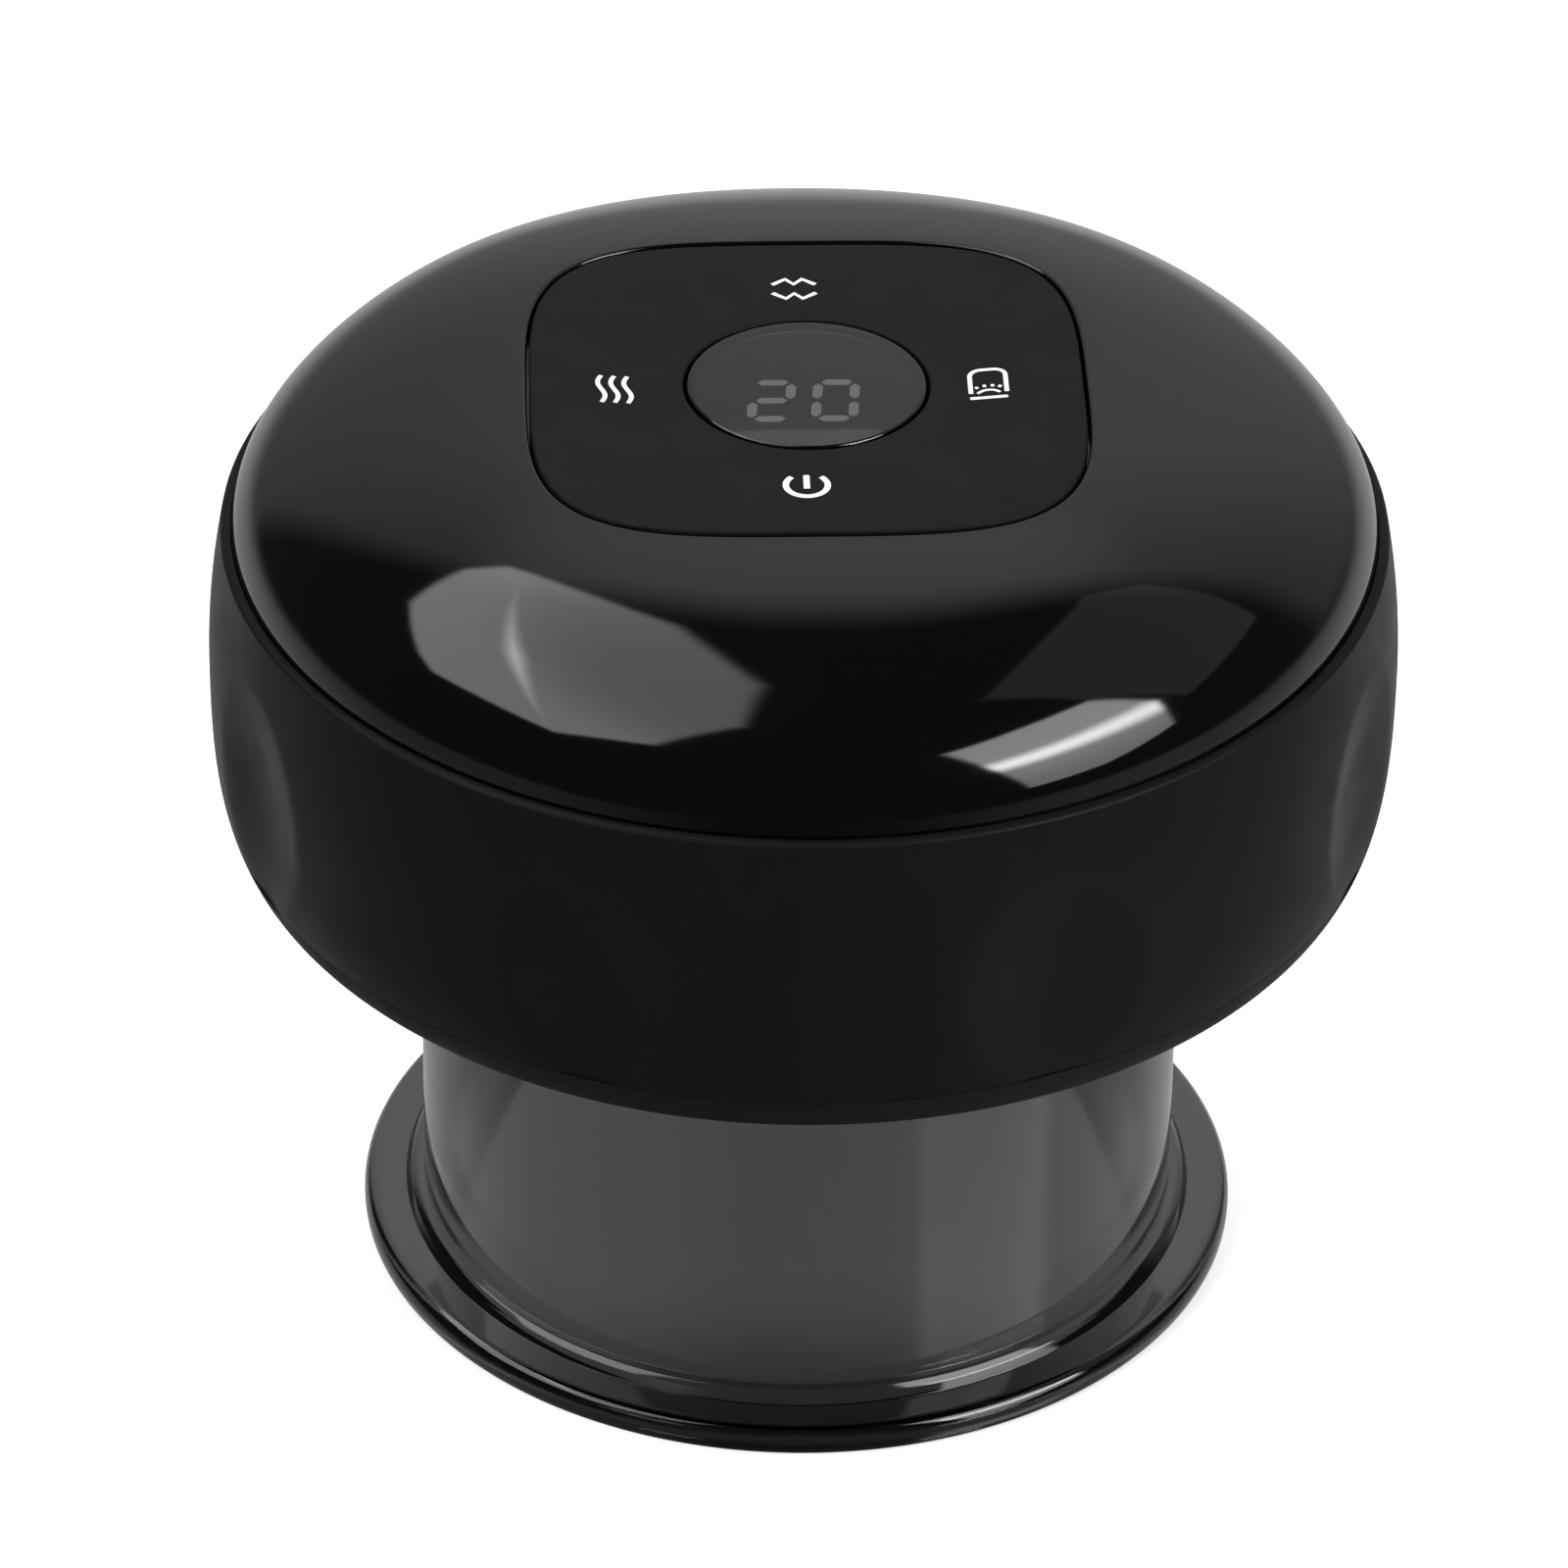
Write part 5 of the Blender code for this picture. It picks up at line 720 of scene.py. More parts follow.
class MASSAGER_OT_shells(bpy.types.Operator):
    """Makes the bottom cover and the grip ring with its finger dimples"""
    bl_idname = "massager.shells"
    bl_label = "Bottom cover and grip"

    def execute(self, context):
        sizes = context.scene.massager_head
        bore = 43.0 * MM
        top = GRIP_BOX[1].z
        shelf = top - 3.0 * MM
        lip = 0.28 * MM
        lip_inner = sizes.seam_radius + GAP / 4
        levels = 90
        side = top - lip - SKIRT_BOTTOM
        heights = [SKIRT_BOTTOM + side * k / levels for k in range(levels + 1)]
        outline = [(head_outline(sizes, height), height) for height in heights]
        outline += [(lip_inner + (sizes.lip_radius - lip_inner) * reach, top - lip + lip * rise)
                    for reach, rise in quarter(8)[1:]]
        outline += [(lip_inner, shelf), (bore, shelf), (bore, SKIRT_BOTTOM)]
        ring = grow(TREES["dimple"], turned_mesh("grip", outline, FACETS_GRIP),
                    count=sizes.dimples, radius=GRIP_BOX[1].x,
                    half_width=sizes.dimple_width / 2, half_height=sizes.dimple_height / 2,
                    middle=sizes.dimple_middle, depth=sizes.dimple_depth,
                    inner_radius=bore + 2 * GAP)
        half_width, half_height = 5.7 * MM, 2.8 * MM
        slot = slot_cutter(half_width, half_height, bore - OVERRUN, GRIP_BOX[1].x + OVERRUN)
        ring = finish_mesh(cut_mesh(ring, slot))
        place_piece("dimpled_grip", ring, "soft_touch_grip", "head", "grip_ring")
        self.make_base(sizes, context.scene.massager_cup, bore)
        return {"FINISHED"}

    def make_base(self, sizes, cup, bore):
        """The cover under the grip, with the cup's socket and the floor of the head."""
        ledge = SKIRT_BOTTOM - GAP / 4
        wall = bore - GAP
        inner_wall = wall - 1.8 * MM
        socket = cup.wall_radius + GAP
        socket_wall = socket + 2.0 * MM
        steps = 16
        curve = []
        for k in range(1, steps + 1):
            height = HEAD_BOTTOM + (ledge - HEAD_BOTTOM) * (k / steps) ** 2
            curve.append((head_outline(sizes, height), height, 0.0))
        edge = 0.35 * MM
        rim = BASE_BOX[1].z
        tray = HEAD_BOTTOM + 2.5 * MM
        roof = SEAL_BOX[1].z + GAP
        floor_top = 47.5 * MM
        floor = floor_top - 1.5 * MM
        air_hole = 2.3 * MM
        spigot = 26.0 * MM
        spigot_inner = spigot - 1.6 * MM
        spigot_bottom = floor - 4.4 * MM
        outline = rounded([
            (socket, HEAD_BOTTOM, edge), (sizes.edge_radius, HEAD_BOTTOM, edge), *curve,
            (wall, ledge, 0.0), (wall, rim, 0.0), (inner_wall, rim, 0.0), (inner_wall, tray, 0.0),
            (socket_wall, tray, 0.0), (socket_wall, floor_top, 0.0),
            (air_hole, floor_top, 0.0), (air_hole, floor, edge),
            (spigot_inner, floor, edge), (spigot_inner, spigot_bottom, edge),
            (spigot, spigot_bottom, edge), (spigot, roof, edge), (socket, roof, edge)])
        base = turned_mesh("base", outline)
        screw_circle = (SCREW_BOX[0].x + SCREW_BOX[1].x) / 2
        head_radius = (SCREW_BOX[1].x - SCREW_BOX[0].x) / 2 + GAP
        shank_radius, shank_top = 1.5 * MM, HEAD_BOTTOM + 4.0 * MM
        seat = HEAD_BOTTOM + 1.3 * MM

        def counterbores(bm):
            for x, y in ((1, 1), (-1, 1), (-1, -1), (1, -1)):
                place = (x * screw_circle, y * screw_circle)
                rod(bm, head_radius, HEAD_BOTTOM - OVERRUN, seat, place)
                rod(bm, shank_radius, seat - GAP, shank_top, place)

        half_width, half_height = 4.9 * MM, 2.0 * MM
        port = slot_cutter(half_width, half_height, wall - 4 * OVERRUN, wall + OVERRUN)
        base = finish_mesh(cut_mesh(base, counterbores, port))
        thread_base = HEAD_BOTTOM + 1.5 * MM
        ribs = thread_ribs(0.3, -0.9, socket, thread_base)
        place_piece("bottom_shell", joined([base, ribs]), "satin_black_abs", "head", "bottom_cover")


def dome_rings(sizes):
    """Half width, height and curve of the cover's rings, from the key opening to the seam."""
    steps = 64
    # How much squarer than a circle the opening is, and how fast the dome rounds below it
    squareness, fading = 1.7, 1.6
    opening = PANEL_BOX[1].x + 0.2 * MM
    foot = GRIP_BOX[1].z - 0.1 * MM
    rings = []
    for up, side in quarter(steps):
        out = side ** (2 / sizes.dome_curve)
        rings.append((opening + (sizes.seam_radius - opening) * out,
                      foot + (sizes.crown - foot) * up, 2.0 + squareness * (1 - out) ** fading))
    return rings


class MASSAGER_OT_top_cover(bpy.types.Operator):
    """Makes the glossy top cover with its rounded-square key opening"""
    bl_idname = "massager.top_cover"
    bl_label = "Top cover"

    def execute(self, context):
        sizes = context.scene.massager_head
        outer = dome_rings(sizes)
        opening, crown, corner = outer[0]
        lip = 0.3 * MM
        shelf = sizes.crown - 2.5 * MM
        ledge = shelf - 1.2 * MM
        wall = 2.0 * MM
        ledge_inner = opening - 1.4 * MM
        rings = [(ledge_inner, ledge, corner), (ledge_inner, shelf, corner),
                 (opening, shelf, corner)]
        rings += [(opening + lip * (1 - reach), crown - lip * (1 - rise), corner)
                  for reach, rise in quarter(6)]
        rings += [ring for ring in outer if ring[0] > opening + 1.5 * lip]
        skirt = 62.0 * MM
        rings += [(sizes.seam_radius, skirt, 2.0), (sizes.seam_radius - wall, skirt, 2.0)]
        inner = []
        for before, here, after in zip(outer, outer[1:], outer[2:]):
            slope = Vector((after[0] - before[0], after[1] - before[1]))
            inward = Vector((slope.y, -slope.x)).normalized() * wall
            inner.append((here[0] + inward.x, here[1] + inward.y, here[2]))
        rings += [ring for ring in reversed(inner[::4]) if ring[0] > opening + 1.5 * MM]
        rings.append((opening + 1.0 * MM, ledge, corner))
        mesh = mesh_of("cover", lambda bm: skin(
            bm, [ellipse_ring(half, half, height, curve) for half, height, curve in rings], True))
        place_piece("glossy_cover", finish_mesh(mesh), "gloss_black_abs", "head", "top_cover")
        return {"FINISHED"}


# Control panel and its symbols
def arc_line(middle, radius, start, end, steps):
    """Points of an arc with its angles in degrees."""
    line = []
    for k in range(steps + 1):
        x, y = across(radius, math.radians(start + (end - start) * k / steps))
        line.append((middle[0] + x, middle[1] + y, 0.0))
    return line


def placed(lines, place, slant):
    """Lines drawn in millimetres, slanted along X and moved to a place in metres."""
    return [[(x * MM + place[0], (y + slant * x) * MM + place[1], 0.0) for x, y, *_ in line]
            for line in lines]


def power_symbol():
    """A broken ring with a bar in its gap."""
    return [(0.47, [arc_line((0.0, 0.0), 1.58, 90 + 45, 450 - 45, 40),
                    [(0.0, 1.35), (0.0, -0.5)]])]


def heat_symbol():
    """Three rising waves."""
    half, steps = 1.92, 24
    heights = [half * (1 - 2 * k / steps) for k in range(steps + 1)]
    return [(0.36, [[(x - 0.27 * math.sin(math.pi * y / half), y) for y in heights]
                   for x in (-1.0, 0.0, 1.0)])]


def pulse_symbol():
    """Two zigzag lines, mirrored."""
    zigzag = ((-1.68, 0.64), (-0.65, 1.46), (0.0, 0.7), (0.65, 1.46), (1.68, 0.64))
    return [(0.4, [[(x, side * y) for x, y in zigzag] for side in (1, -1)])]


def cup_symbol():
    """A cup over a base line, with skin drawn up into it."""
    half, foot, crown, corner = 1.38, -1.4, 1.95, 0.9
    arch = [(-half, foot), *arc_line((corner - half, crown - corner), corner, 180, 90, 8),
            *arc_line((half - corner, crown - corner), corner, 90, 0, 8), (half, foot)]
    skin_line = arc_line((0.0, -2.05), 1.05, 145, 35, 12)
    marks = [[arc_line((0.0, -2.4), reach, angle, angle, 1)[0] for reach in (1.85, 2.15)]
             for angle in (117, 99, 81, 64)]
    return [(0.35, [arch, [(-1.48, -2.1), (1.42, -2.1)]]), (0.26, [skin_line, *marks])]


# Segments that are lit for each digit, and the corners that each segment joins
LIT_SEGMENTS = {"0": "abcdef", "2": "abged"}
SEGMENT_ENDS = {"a": ((-1, 1), (1, 1)), "g": ((-1, 0), (1, 0)), "d": ((-1, -1), (1, -1)),
                "f": ((-1, 1), (-1, 0)), "b": ((1, 1), (1, 0)), "e": ((-1, 0), (-1, -1)),
                "c": ((1, 0), (1, -1))}


def digit_outlines(text, half_width, half_height, thickness, pitch, lean):
    """Corners of each lit segment of a row of seven-segment digits."""
    gap, bevel = thickness * 0.3, thickness / 2
    outlines = []
    for number, digit in enumerate(text):
        middle = (number - (len(text) - 1) / 2) * pitch
        for key in LIT_SEGMENTS[digit]:
            first, last = (Vector((x * half_width, y * half_height)) for x, y in SEGMENT_ENDS[key])
            along = (last - first).normalized()
            side = Vector((-along.y, along.x)) * bevel
            first, last = first + along * gap, last - along * gap
            corners = (first, first + along * bevel + side, last - along * bevel + side, last,
                       last - along * bevel - side, first + along * bevel - side)
            outlines.append([(p.x + middle + lean * p.y, p.y) for p in corners])
    return outlines


class MASSAGER_OT_panel(bpy.types.Operator):
    """Makes the rocking key panel and its printed symbols"""
    bl_idname = "massager.panel"
    bl_label = "Key panel"

    def execute(self, context):
        sizes = context.scene.massager_panel
        half_x, half_y = PANEL_BOX[1].x, PANEL_BOX[1].y
        bore = LENS_BOX[1].x - 0.05 * MM
        bottom = PANEL_TOP - 1.5 * MM
        curve = 3.8
        lip = 0.2 * MM
        rings = [ellipse_ring(half_x, half_y, bottom, curve)]
        for reach, rise in quarter(6):
            inset = sizes.edge * (1 - reach)
            rings.append(ellipse_ring(half_x - inset, half_y - inset,
                                      PANEL_TOP - sizes.edge * (1 - rise), curve))
        for reach, rise in reversed(quarter(6)):
            radius = bore + lip * (1 - reach)
            rings.append(ellipse_ring(radius, radius, PANEL_TOP - lip * (1 - rise), 2.0))
        rings.append(ellipse_ring(bore, bore, bottom, 2.0))
        mesh = mesh_of("panel", lambda bm: skin(bm, rings, True))
        place_piece("rocking_key_panel", finish_mesh(mesh), "satin_black_abs", "panel",
                    "control_panel")
        circle = sizes.key_circle
        strokes = []
        aside = 0.5 * MM
        for symbol, place, slant in ((power_symbol, (-aside, -circle - 0.11 * MM), 0.0),
                                     (pulse_symbol, (-aside, circle - 0.26 * MM), 0.0),
                                     (heat_symbol, (-circle - 0.3 * MM, -0.54 * MM), -0.115),
                                     (cup_symbol, (circle - 0.53 * MM, -0.09 * MM), 0.137)):
            for width, lines in symbol():
                drawn = line_mesh("symbol", placed(lines, place, slant))
                strokes.append(grow(TREES["stroke"], drawn, width=width * MM, height=PANEL_TOP,
                                    flatness=sizes.ink_thickness / (width * MM)))
        place_piece("key_symbols", joined(strokes), "ink", "panel")
        return {"FINISHED"}


class MASSAGER_OT_display(bpy.types.Operator):
    """Makes the tinted window, the display under it and its lit segments"""
    bl_idname = "massager.display"
    bl_label = "Display"

    def execute(self, context):
        sizes = context.scene.massager_panel
        clearance, sink, mask_width = 0.28 * MM, 0.35 * MM, 0.7 * MM
        radius = LENS_BOX[1].x - clearance
        crown = 0.12 * MM
        edge = 0.3 * MM
        bottom = LENS_BOX[0].z
        shoulder = LENS_TOP - sink - crown
        outline = [(0.0, bottom), (radius - mask_width, bottom), (radius, bottom)]
        outline += [(radius - edge * (1 - reach), shoulder - edge * (1 - rise))
                    for reach, rise in quarter(8)]
        inner, steps = radius - edge, 12
        outline += [(inner * (1 - k / steps), shoulder + crown * (1 - (1 - k / steps) ** 2))
                    for k in range(1, steps + 1)]
        window = place_piece("display_window", turned_mesh("lens", outline, FACETS_MIDDLE, False),
                             "display_lens_pc", "head", "display_lens")
        window.data.materials.append(finish_of("mask"))
        for face in window.data.polygons:
            if face.center.z < shoulder - edge and face.center.xy.length > radius - mask_width:
                face.material_index = 1
        low, high = DISPLAY_BOX
        mesh = mesh_of("display", lambda bm: block(bm, low, high))
        bevel_edges(place_piece("display_module", mesh, "display_face", "head", "digit_display"),
                    0.2 * MM)
        outlines = digit_outlines("20", sizes.digit_width / 2, sizes.digit_height / 2,
                                  sizes.segment, sizes.digit_pitch, lean=0.077)
        aside, back, film = -0.22 * MM, 0.06 * MM, 0.03 * MM

        def draw(bm):
            for outline in outlines:
                skin(bm, [[(x + aside, y + back, z) for x, y in outline]
                          for z in (high.z - film, high.z + film)])

        place_piece("display_digits", mesh_of("digits", draw), "digits", "head")
        # A ledge at the display's edge, whose glow is painted light from the segments
        inset, front, rear = 0.6 * MM, -7.0 * MM, -2.6 * MM
        ledge = mesh_of("ledge", lambda bm: block(bm, (low.x + inset, front, high.z - film),
                                                  (high.x - inset, rear, high.z)))
        place_piece("display_edge", ledge, "glow", "head")
        return {"FINISHED"}


# Underside and charging socket
class MASSAGER_OT_underside(bpy.types.Operator):
    """Makes the heating plate, and the board over it with its ring of lamps"""
    bl_idname = "massager.underside"
    bl_label = "Heating plate and lamps"

    def execute(self, context):
        low, high = PLATE_BOX
        bore, hole_radius, edge = 2.6 * MM, 1.9 * MM, 0.25 * MM
        plate = turned_mesh("plate", washer(bore, high.x, low.z, high.z, edge), FACETS_MIDDLE)

        def lamp_holes(bm):
            for k in range(LAMPS):
                rod(bm, hole_radius, low.z - OVERRUN, high.z + OVERRUN,
                    across(LAMP_CIRCLE, math.tau * (k + 0.5) / LAMPS))

        plate = finish_mesh(cut_mesh(plate, lamp_holes))
        place_piece("heated_plate", plate, "anodised_aluminium", "head", "heating_plate")
        self.make_lamps()
        return {"FINISHED"}

    def make_lamps(self):
        """The board over the plate and its ring of lamps, which point down."""
        low, high = LIGHT_BOX
        bottom, bore, edge = high.z - 1.0 * MM, 4.3 * MM, 0.1 * MM
        board = washer(bore, high.x, bottom, high.z, edge)
        place_piece("lamp_board", turned_mesh("board", board, FACETS_MIDDLE), "circuit_board",
                    "head", "light_board")
        radius, crown = 1.6 * MM, 1.0 * MM
        dome = [(0.0, low.z)]
        dome += [(radius * side, low.z + crown * (1 - up)) for up, side in quarter(8)[1:]]
        dome += [(radius, bottom), (0.0, bottom)]
        lamps = grow(TREES["circle"], turned_mesh("lamp", dome, FACETS_LAMP, False), count=LAMPS,
                     circle_radius=LAMP_CIRCLE, first_angle=math.pi / LAMPS)
        place_piece("lamp_ring", lamps, "lamp", "head")


class MASSAGER_OT_screws(bpy.types.Operator):
    """Makes the four cross-head housing screws"""
    bl_idname = "massager.screws"
    bl_label = "Housing screws"

    def execute(self, context):
        low, high = SCREW_BOX
        radius, shank = (high.x - low.x) / 2, 1.2 * MM
        head = low.z + 0.7 * MM
        outline = rounded([(0.0, low.z, 0.0), (radius, low.z, 0.25 * MM), (radius, head, 0.0),
                           (shank, head, 0.1 * MM), (shank, high.z - 1.0 * MM, 0.2 * MM),
                           (0.0, high.z, 0.0)], False)
        screw = turned_mesh("screw", outline, FACETS_SMALL, False)
        arm, half, depth = 1.1 * MM, 0.24 * MM, 0.5 * MM

        def recess(reach_x, reach_y):
            return lambda bm: block(bm, (-reach_x, -reach_y, low.z - OVERRUN),
                                    (reach_x, reach_y, low.z + depth))

        screw = finish_mesh(cut_mesh(screw, recess(arm, half), recess(half, arm)))
        circle = (low.x + high.x) / 2 * math.sqrt(2)
        screws = grow(TREES["circle"], screw, count=SCREWS, circle_radius=circle,
                      first_angle=math.pi / SCREWS)
        place_piece("housing_screws", screws, "zinc_plated_steel", "head",
                    *(f"housing_screw_{number}" for number in range(1, SCREWS + 1)))
        return {"FINISHED"}


class MASSAGER_OT_charge_socket(bpy.types.Operator):
    """Makes the charging socket with its tongue"""
    bl_idname = "massager.charge_socket"
    bl_label = "Charging socket"

    def execute(self, context):
        low, high = SOCKET_BOX
        half_width, half_height = high.x, (high.z - low.z) / 2
        sheet = 0.35 * MM
        edge = 0.12 * MM
        back = low.y + 2 * sheet

        def shell(bm):
            rings = []
            for grown, reach in ((0.0, low.y), (0.0, high.y - edge), (-edge / 3, high.y - edge / 3),
                                 (-edge, high.y), (-sheet, high.y), (-sheet, back)):
                rings.append([(x, reach, z + SOCKET_MIDDLE) for x, z in
                              stadium(half_width + grown, half_height + grown)])
            skin(bm, rings)

        def tongue(bm):
            wide, thick = 3.2 * MM, 0.35 * MM
            block(bm, (-wide, back - 0.2 * MM, SOCKET_MIDDLE - thick),
                  (wide, high.y - 1.0 * MM, SOCKET_MIDDLE + thick))

        place_piece("socket_shell", finish_mesh(mesh_of("socket", shell)), "zinc_plated_steel",
                    "head", "charge_socket")
        bevel_edges(place_piece("socket_tongue", mesh_of("tongue", tongue), "chip_epoxy", "head"),
                    edge)
        return {"FINISHED"}


class MASSAGER_OT_inner_parts(bpy.types.Operator):
    """Gives every piece that is kept from the frame the finish of its slot"""
    bl_idname = "massager.inner_parts"
    bl_label = "Inner parts"

    def execute(self, context):
        slots = {part["node"]: part["material_slot"] for part in frame["record"]["subparts"]}
        for name, node in frame["nodes"].items():
            node.data.materials.clear()
            node.data.materials.append(finish_of(slots[name]))
        return {"FINISHED"}


class MASSAGER_OT_trees(bpy.types.Operator):
    """Makes the finishes and the node trees that the pieces share"""
    bl_idname = "massager.trees"
    bl_label = "Finishes and trees"

    def execute(self, context):
        MATERIAL_NAMES.update({key: made.name for key, made in make_materials().items()})
        TREES.update(turning=turning_tree(), dimple=dimple_tree(), stroke=stroke_tree(),
                     circle=circle_tree(), thread=thread_tree())
        return {"FINISHED"}


# Stage
WHITE = (1.0, 1.0, 1.0, 1.0)

# The camera's place, its angles in radians and its lens in millimetres
CAMERA_PLACE = (-24.5 * MM, -586.4 * MM, 435.9 * MM)
CAMERA_PITCH = 0.5938
CAMERA_HEADING = -0.0394
CAMERA_ROLL = 0.0115
CAMERA_LENS = 206.6

# Brightness of the fill on dull surfaces and of the floor's own glow, and the floor's radius
FILL_LEVEL = 0.45
FLOOR_LEVEL = 0.62
FLOOR_RADIUS = 3.0

# What gloss sees round the object: a nearly dark studio, a table and soft-edged panels. A panel
# lies between corners, given as directions from the object in the order of its outline. Each
# of its bands is brighter by a gain where a direction's share along an axis is near a place.
STUDIO_DARK = 0.055
SWEEP = dict(
    corners=((-1.05, 1, -0.1), (3.2, 1, -0.1), (2.9, 1, 1.1), (1.2, 1, 2.5), (0.3, 1, 2.7),
             (-1.1, 1, 2.45)),
    soft=0.2, level=0.28, bands=(((1, 0, 0), 0.15, 0.7, 0.75), ((0, 0, 1), 0.0, 0.4, -0.25),
                                 ((0, 0.51, 0.86), 1.0, 0.1, 0.5)))
ROUND_SOFTBOX = dict(
    corners=((-0.99, 0.59, 1), (-0.56, 0.74, 1), (-0.37, 0.71, 1), (-0.05, 0.39, 1), (0.0, 0.13, 1),
             (-0.07, -0.14, 1), (-0.37, -0.43, 1), (-0.84, -0.49, 1), (-1.34, 0.03, 1),
             (-1.28, 0.21, 1)),
    soft=0.03, level=2.8, bands=(((0, 0, 1), 1.0, 0.2, -0.4),))
STREAK = dict(
    corners=((-0.31, 0.66, 1), (-0.51, 0.07, 1), (-0.85, -0.5, 1), (-0.65, 0.13, 1)),
    soft=0.1, level=9.5, bands=())
LOW_SOFTBOX = dict(
    corners=((0.31, -0.46, 1), (0.49, -0.31, 1), (0.7, -0.17, 1), (1.33, -0.24, 1),
             (2.64, -0.72, 1), (3.27, -2.14, 1), (2.6, -3.1, 1)),
    soft=0.03, level=2.7, bands=(((-0.409, 0.529, 0.743), 0.0, 0.11, 3.0),
                                 ((0, 0, 1), 0.75, 0.45, 0.75)))
DIM_WALL = dict(
    corners=((0.27, -0.05, 1), (0.3, 0.21, 1), (0.36, 0.47, 1), (0.61, 0.59, 1), (0.96, 0.62, 1),
             (1.77, 0.72, 1), (1.78, 0.19, 1), (1.77, -0.24, 1), (0.65, -0.18, 1)),
    soft=0.02, level=0.25, bands=())
TABLE_CARD = dict(
    corners=((0.5, -0.87, -0.42), (0.99, -0.14, -0.42), (0.99, -0.14, -1.2), (0.5, -0.87, -1.2)),
    soft=0.28, level=1.35, bands=())
STUDIO_PANELS = (SWEEP, ROUND_SOFTBOX, STREAK, LOW_SOFTBOX, DIM_WALL, TABLE_CARD)


def faded(tree, *fades):
    """The product of numbers that go softly from low to high as a value goes from start to end."""
    product = 1.0
    for value, start, end, low, high in fades:
        part = add_node(tree, "ShaderNodeMapRange", {
            "Value": value, "From Min": start, "From Max": end, "To Min": low, "To Max": high},
            interpolation_type="SMOOTHSTEP")
        product = add_node(tree, "ShaderNodeMath", {0: product, 1: part}, operation="MULTIPLY")
    return product


def studio_panel(tree, direction, corners, soft, level, bands):
    """The brightness of a panel of the studio, as seen in a direction."""
    places = [Vector(corner) for corner in corners]
    middle = sum(places, Vector())
    inside = 1.0
    for here, after in zip(places, places[1:] + places[:1]):
        side = here.cross(after).normalized()
        if side.dot(middle) < 0:
            side.negate()
        share = add_node(tree, "ShaderNodeVectorMath", {0: direction, 1: side},
                         operation="DOT_PRODUCT")
        inside = add_node(tree, "ShaderNodeMath", {0: inside, 1: share.outputs["Value"]},
                          operation="MINIMUM")
    fades = [(inside, 0.0, soft, 0.0, level)]
    for axis, place, half, gain in bands:
        share = add_node(tree, "ShaderNodeVectorMath", {0: direction, 1: axis},
                         operation="DOT_PRODUCT")
        away = add_node(tree, "ShaderNodeMath", {0: share.outputs["Value"], 1: place},
                        operation="SUBTRACT")
        away = add_node(tree, "ShaderNodeMath", {0: away}, operation="ABSOLUTE")
        fades.append((away, half, 0.0, 1.0, 1 + gain))
    return faded(tree, *fades)


def studio_table(tree, direction):
    """The brightness of the table below the horizon: dark in front, pale behind."""
    aside, behind, up = add_node(tree, "ShaderNodeSeparateXYZ", {"Vector": direction}).outputs
    away = add_node(tree, "ShaderNodeMath", {0: aside}, operation="ABSOLUTE")
    sides = add_node(tree, "ShaderNodeMath", {
        0: aside, 1: 0.05, 2: faded(tree, (away, 0.15, 0.95, 0.0, 0.23))},
        operation="MULTIPLY_ADD")
    near = add_node(tree, "ShaderNodeMath", {
        0: sides, 1: faded(tree, (up, 0.04, -0.08, 0.0, 1.0))}, operation="MULTIPLY")
    far = faded(tree, (behind, -0.2, 0.9, 0.0, 0.55), (up, 0.1, -0.2, 0.0, 1.0))
    return add_node(tree, "ShaderNodeMath", {0: near, 1: far}, operation="ADD")


def by_ray(tree, dull, gloss, seen):
    """Mixes what dull surfaces, gloss, and the eye or a ray through glass meet."""
    path = add_node(tree, "ShaderNodeLightPath")
    eye = add_node(tree, "ShaderNodeMath", {0: path.outputs["Is Camera Ray"],
                                            1: path.outputs["Is Transmission Ray"]},
                   operation="MAXIMUM")
    unseen = add_node(tree, "ShaderNodeMixShader", {0: path.outputs["Is Glossy Ray"], 1: dull,
                                                    2: gloss})
    return add_node(tree, "ShaderNodeMixShader", {0: eye, 1: unseen, 2: seen})


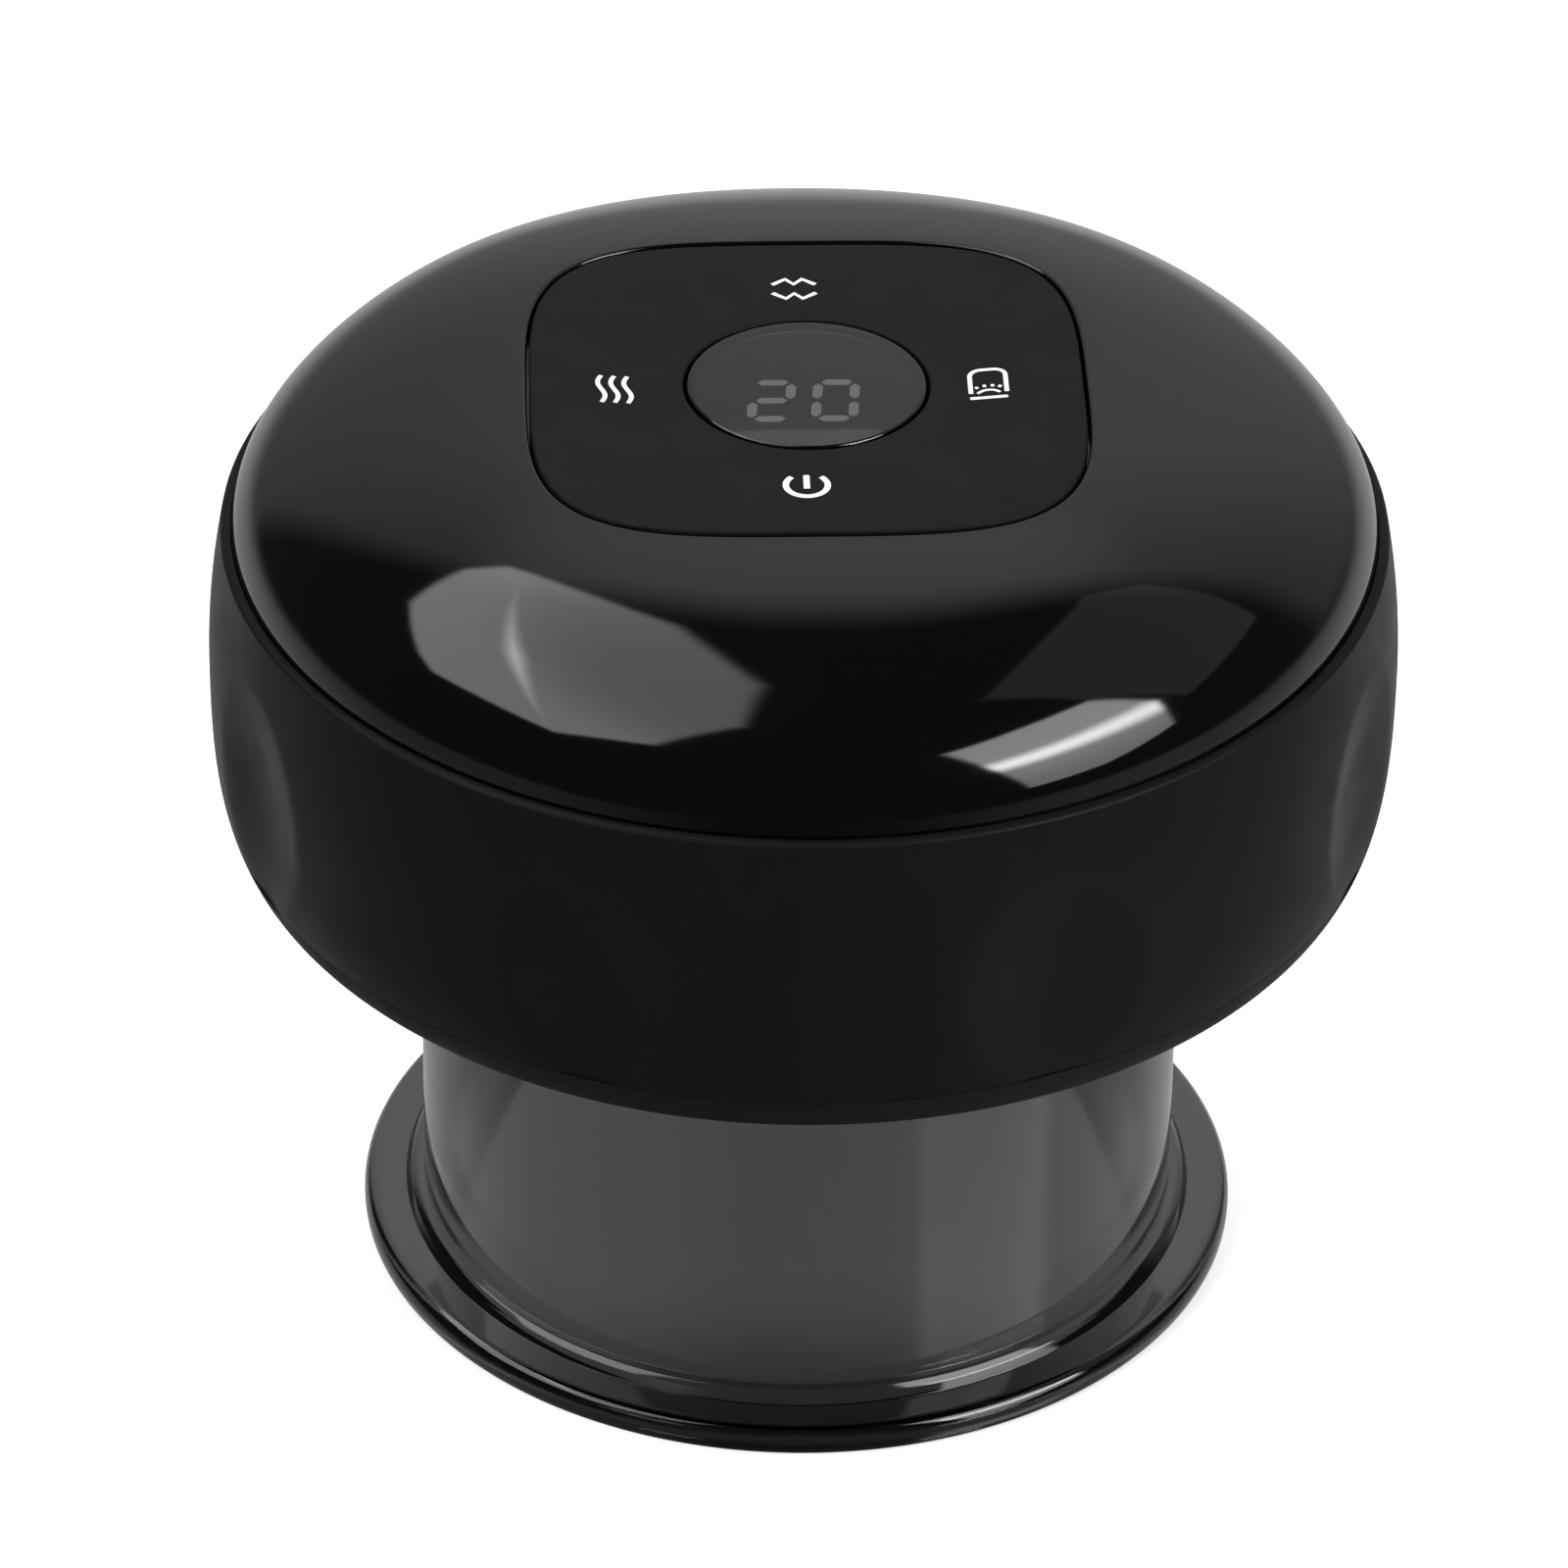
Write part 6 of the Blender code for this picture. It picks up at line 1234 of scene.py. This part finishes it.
class MASSAGER_OT_stage(bpy.types.Operator):
    """Makes the floor, the studio light and the camera"""
    bl_idname = "massager.stage"
    bl_label = "Stage"

    def execute(self, context):
        scene = context.scene
        self.make_floor()
        self.make_world(scene)
        self.make_lamps()
        self.make_camera(scene)
        scene.view_settings.view_transform = "Standard"
        return {"FINISHED"}

    def make_floor(self):
        """A pale floor, white to the eye and clear from below, that keeps the shadow."""
        height, facets = -0.02 * MM, 64
        mesh = mesh_of("floor", lambda bm: bm.faces.new(
            [bm.verts.new(place) for place in
             ellipse_ring(FLOOR_RADIUS, FLOOR_RADIUS, height, 2.0, facets)]))
        if mesh.polygons[0].normal.z < 0:
            mesh.flip_normals()
        floor = bpy.data.objects.new("floor", mesh)
        bpy.context.collection.objects.link(floor)
        made, tree, shader = start_material("pale_floor", linear("#e4e4e4"), 0.9)
        place = add_node(tree, "ShaderNodeSeparateXYZ",
                         {"Vector": add_node(tree, "ShaderNodeTexCoord").outputs["Object"]})
        camera = add_node(tree, "ShaderNodeLightPath").outputs["Is Camera Ray"]
        # Through the cup's wall the floor is dark at the front and pale behind: painted shade,
        # standing in for the head's shadow on the floor in front of the cup
        through = faded(tree, (place.outputs["Y"], -33 * MM, -10 * MM, 0.12, 0.97))
        level = add_node(tree, "ShaderNodeMix", {"Factor": camera, "A": through,
                                                 "B": FLOOR_LEVEL})
        glow = add_node(tree, "ShaderNodeEmission", {"Color": WHITE, "Strength": level})
        lit = add_node(tree, "ShaderNodeAddShader", {0: shader, 1: glow})
        clear = add_node(tree, "ShaderNodeBsdfTransparent")
        faced = add_node(tree, "ShaderNodeMixShader", {
            0: add_node(tree, "ShaderNodeNewGeometry").outputs["Backfacing"],
            1: by_ray(tree, shader, clear, lit), 2: clear})
        tree.links.new(faced.outputs[0], tree.nodes["Material Output"].inputs["Surface"])
        floor.data.materials.append(made)

    def make_world(self, scene):
        """White to the eye, a soft grey fill, and a studio that gloss reflects."""
        world = bpy.data.worlds.new("studio")
        scene.world = world
        world.use_nodes = True
        tree = world.node_tree
        tree.nodes.clear()
        direction = add_node(tree, "ShaderNodeTexCoord").outputs["Generated"]
        lights = [studio_panel(tree, direction, **panel) for panel in STUDIO_PANELS]
        glow = STUDIO_DARK
        for light in (studio_table(tree, direction), *lights):
            glow = add_node(tree, "ShaderNodeMath", {0: glow, 1: light}, operation="ADD")
        fill, studio, white = (add_node(tree, "ShaderNodeBackground", {
            "Color": WHITE, "Strength": level}) for level in (FILL_LEVEL, glow, 1.0))
        add_node(tree, "ShaderNodeOutputWorld", {"Surface": by_ray(tree, fill, studio, white)})

    def make_lamps(self):
        """Lamps for the light on dull surfaces; gloss sees the studio's panels instead."""
        aim = Vector((0.0, 0.0, 50 * MM))
        for name, place, width, height, power in (
                ("left_softbox", (-0.5, -0.55, 0.55), 0.25, 0.25, 3.0),
                ("right_softbox", (0.65, -0.7, 0.12), 0.3, 0.15, 6.5),
                ("top_softbox", (0.0, 0.35, 0.9), 0.6, 0.5, 6.0)):
            light = bpy.data.lights.new(name, "AREA")
            light.shape = "RECTANGLE"
            light.size, light.size_y, light.energy = width, height, power
            made = bpy.data.objects.new(name, light)
            made.location = place
            made.visible_glossy = False
            made.rotation_euler = (aim - Vector(place)).to_track_quat("-Z", "Y").to_euler()
            bpy.context.collection.objects.link(made)

    def make_camera(self, scene):
        """The camera in front of and above the object, at its given place, angles and lens."""
        data = bpy.data.cameras.new("camera")
        data.lens = CAMERA_LENS
        data.clip_start, data.clip_end = 0.05, 10.0
        made = bpy.data.objects.new("camera", data)
        turn = (Matrix.Rotation(CAMERA_HEADING, 4, "Z")
                @ Matrix.Rotation(math.pi / 2 - CAMERA_PITCH, 4, "X")
                @ Matrix.Rotation(CAMERA_ROLL, 4, "Z"))
        made.matrix_world = Matrix.Translation(CAMERA_PLACE) @ turn
        bpy.context.collection.objects.link(made)
        scene.camera = made


OPERATORS = (MASSAGER_OT_trees, MASSAGER_OT_inner_parts, MASSAGER_OT_cup, MASSAGER_OT_shells,
             MASSAGER_OT_top_cover, MASSAGER_OT_panel, MASSAGER_OT_display,
             MASSAGER_OT_underside, MASSAGER_OT_screws, MASSAGER_OT_charge_socket,
             MASSAGER_OT_stage)


class MASSAGER_PT_pieces(bpy.types.Panel):
    """Lists the massager's pieces"""
    bl_idname = "MASSAGER_PT_pieces"
    bl_label = "Massager"
    bl_space_type = "VIEW_3D"
    bl_region_type = "UI"
    bl_category = "Massager"

    def draw(self, context):
        for made in OPERATORS:
            self.layout.operator(made.bl_idname)


GROUPS = {"massager_cup": CupSizes, "massager_head": HeadSizes, "massager_panel": PanelSizes,
          "massager_colours": Colours}
CLASSES = (*GROUPS.values(), *OPERATORS, MASSAGER_PT_pieces)


def register():
    for made in CLASSES:
        bpy.utils.register_class(made)
    for name, group in GROUPS.items():
        setattr(bpy.types.Scene, name, bpy.props.PointerProperty(type=group))


def unregister():
    for name in GROUPS:
        delattr(bpy.types.Scene, name)
    for made in reversed(CLASSES):
        bpy.utils.unregister_class(made)


def main():
    register()
    for made in OPERATORS:
        group, name = made.bl_idname.split(".")
        getattr(getattr(bpy.ops, group), name)()


if __name__ == "__main__":
    main()
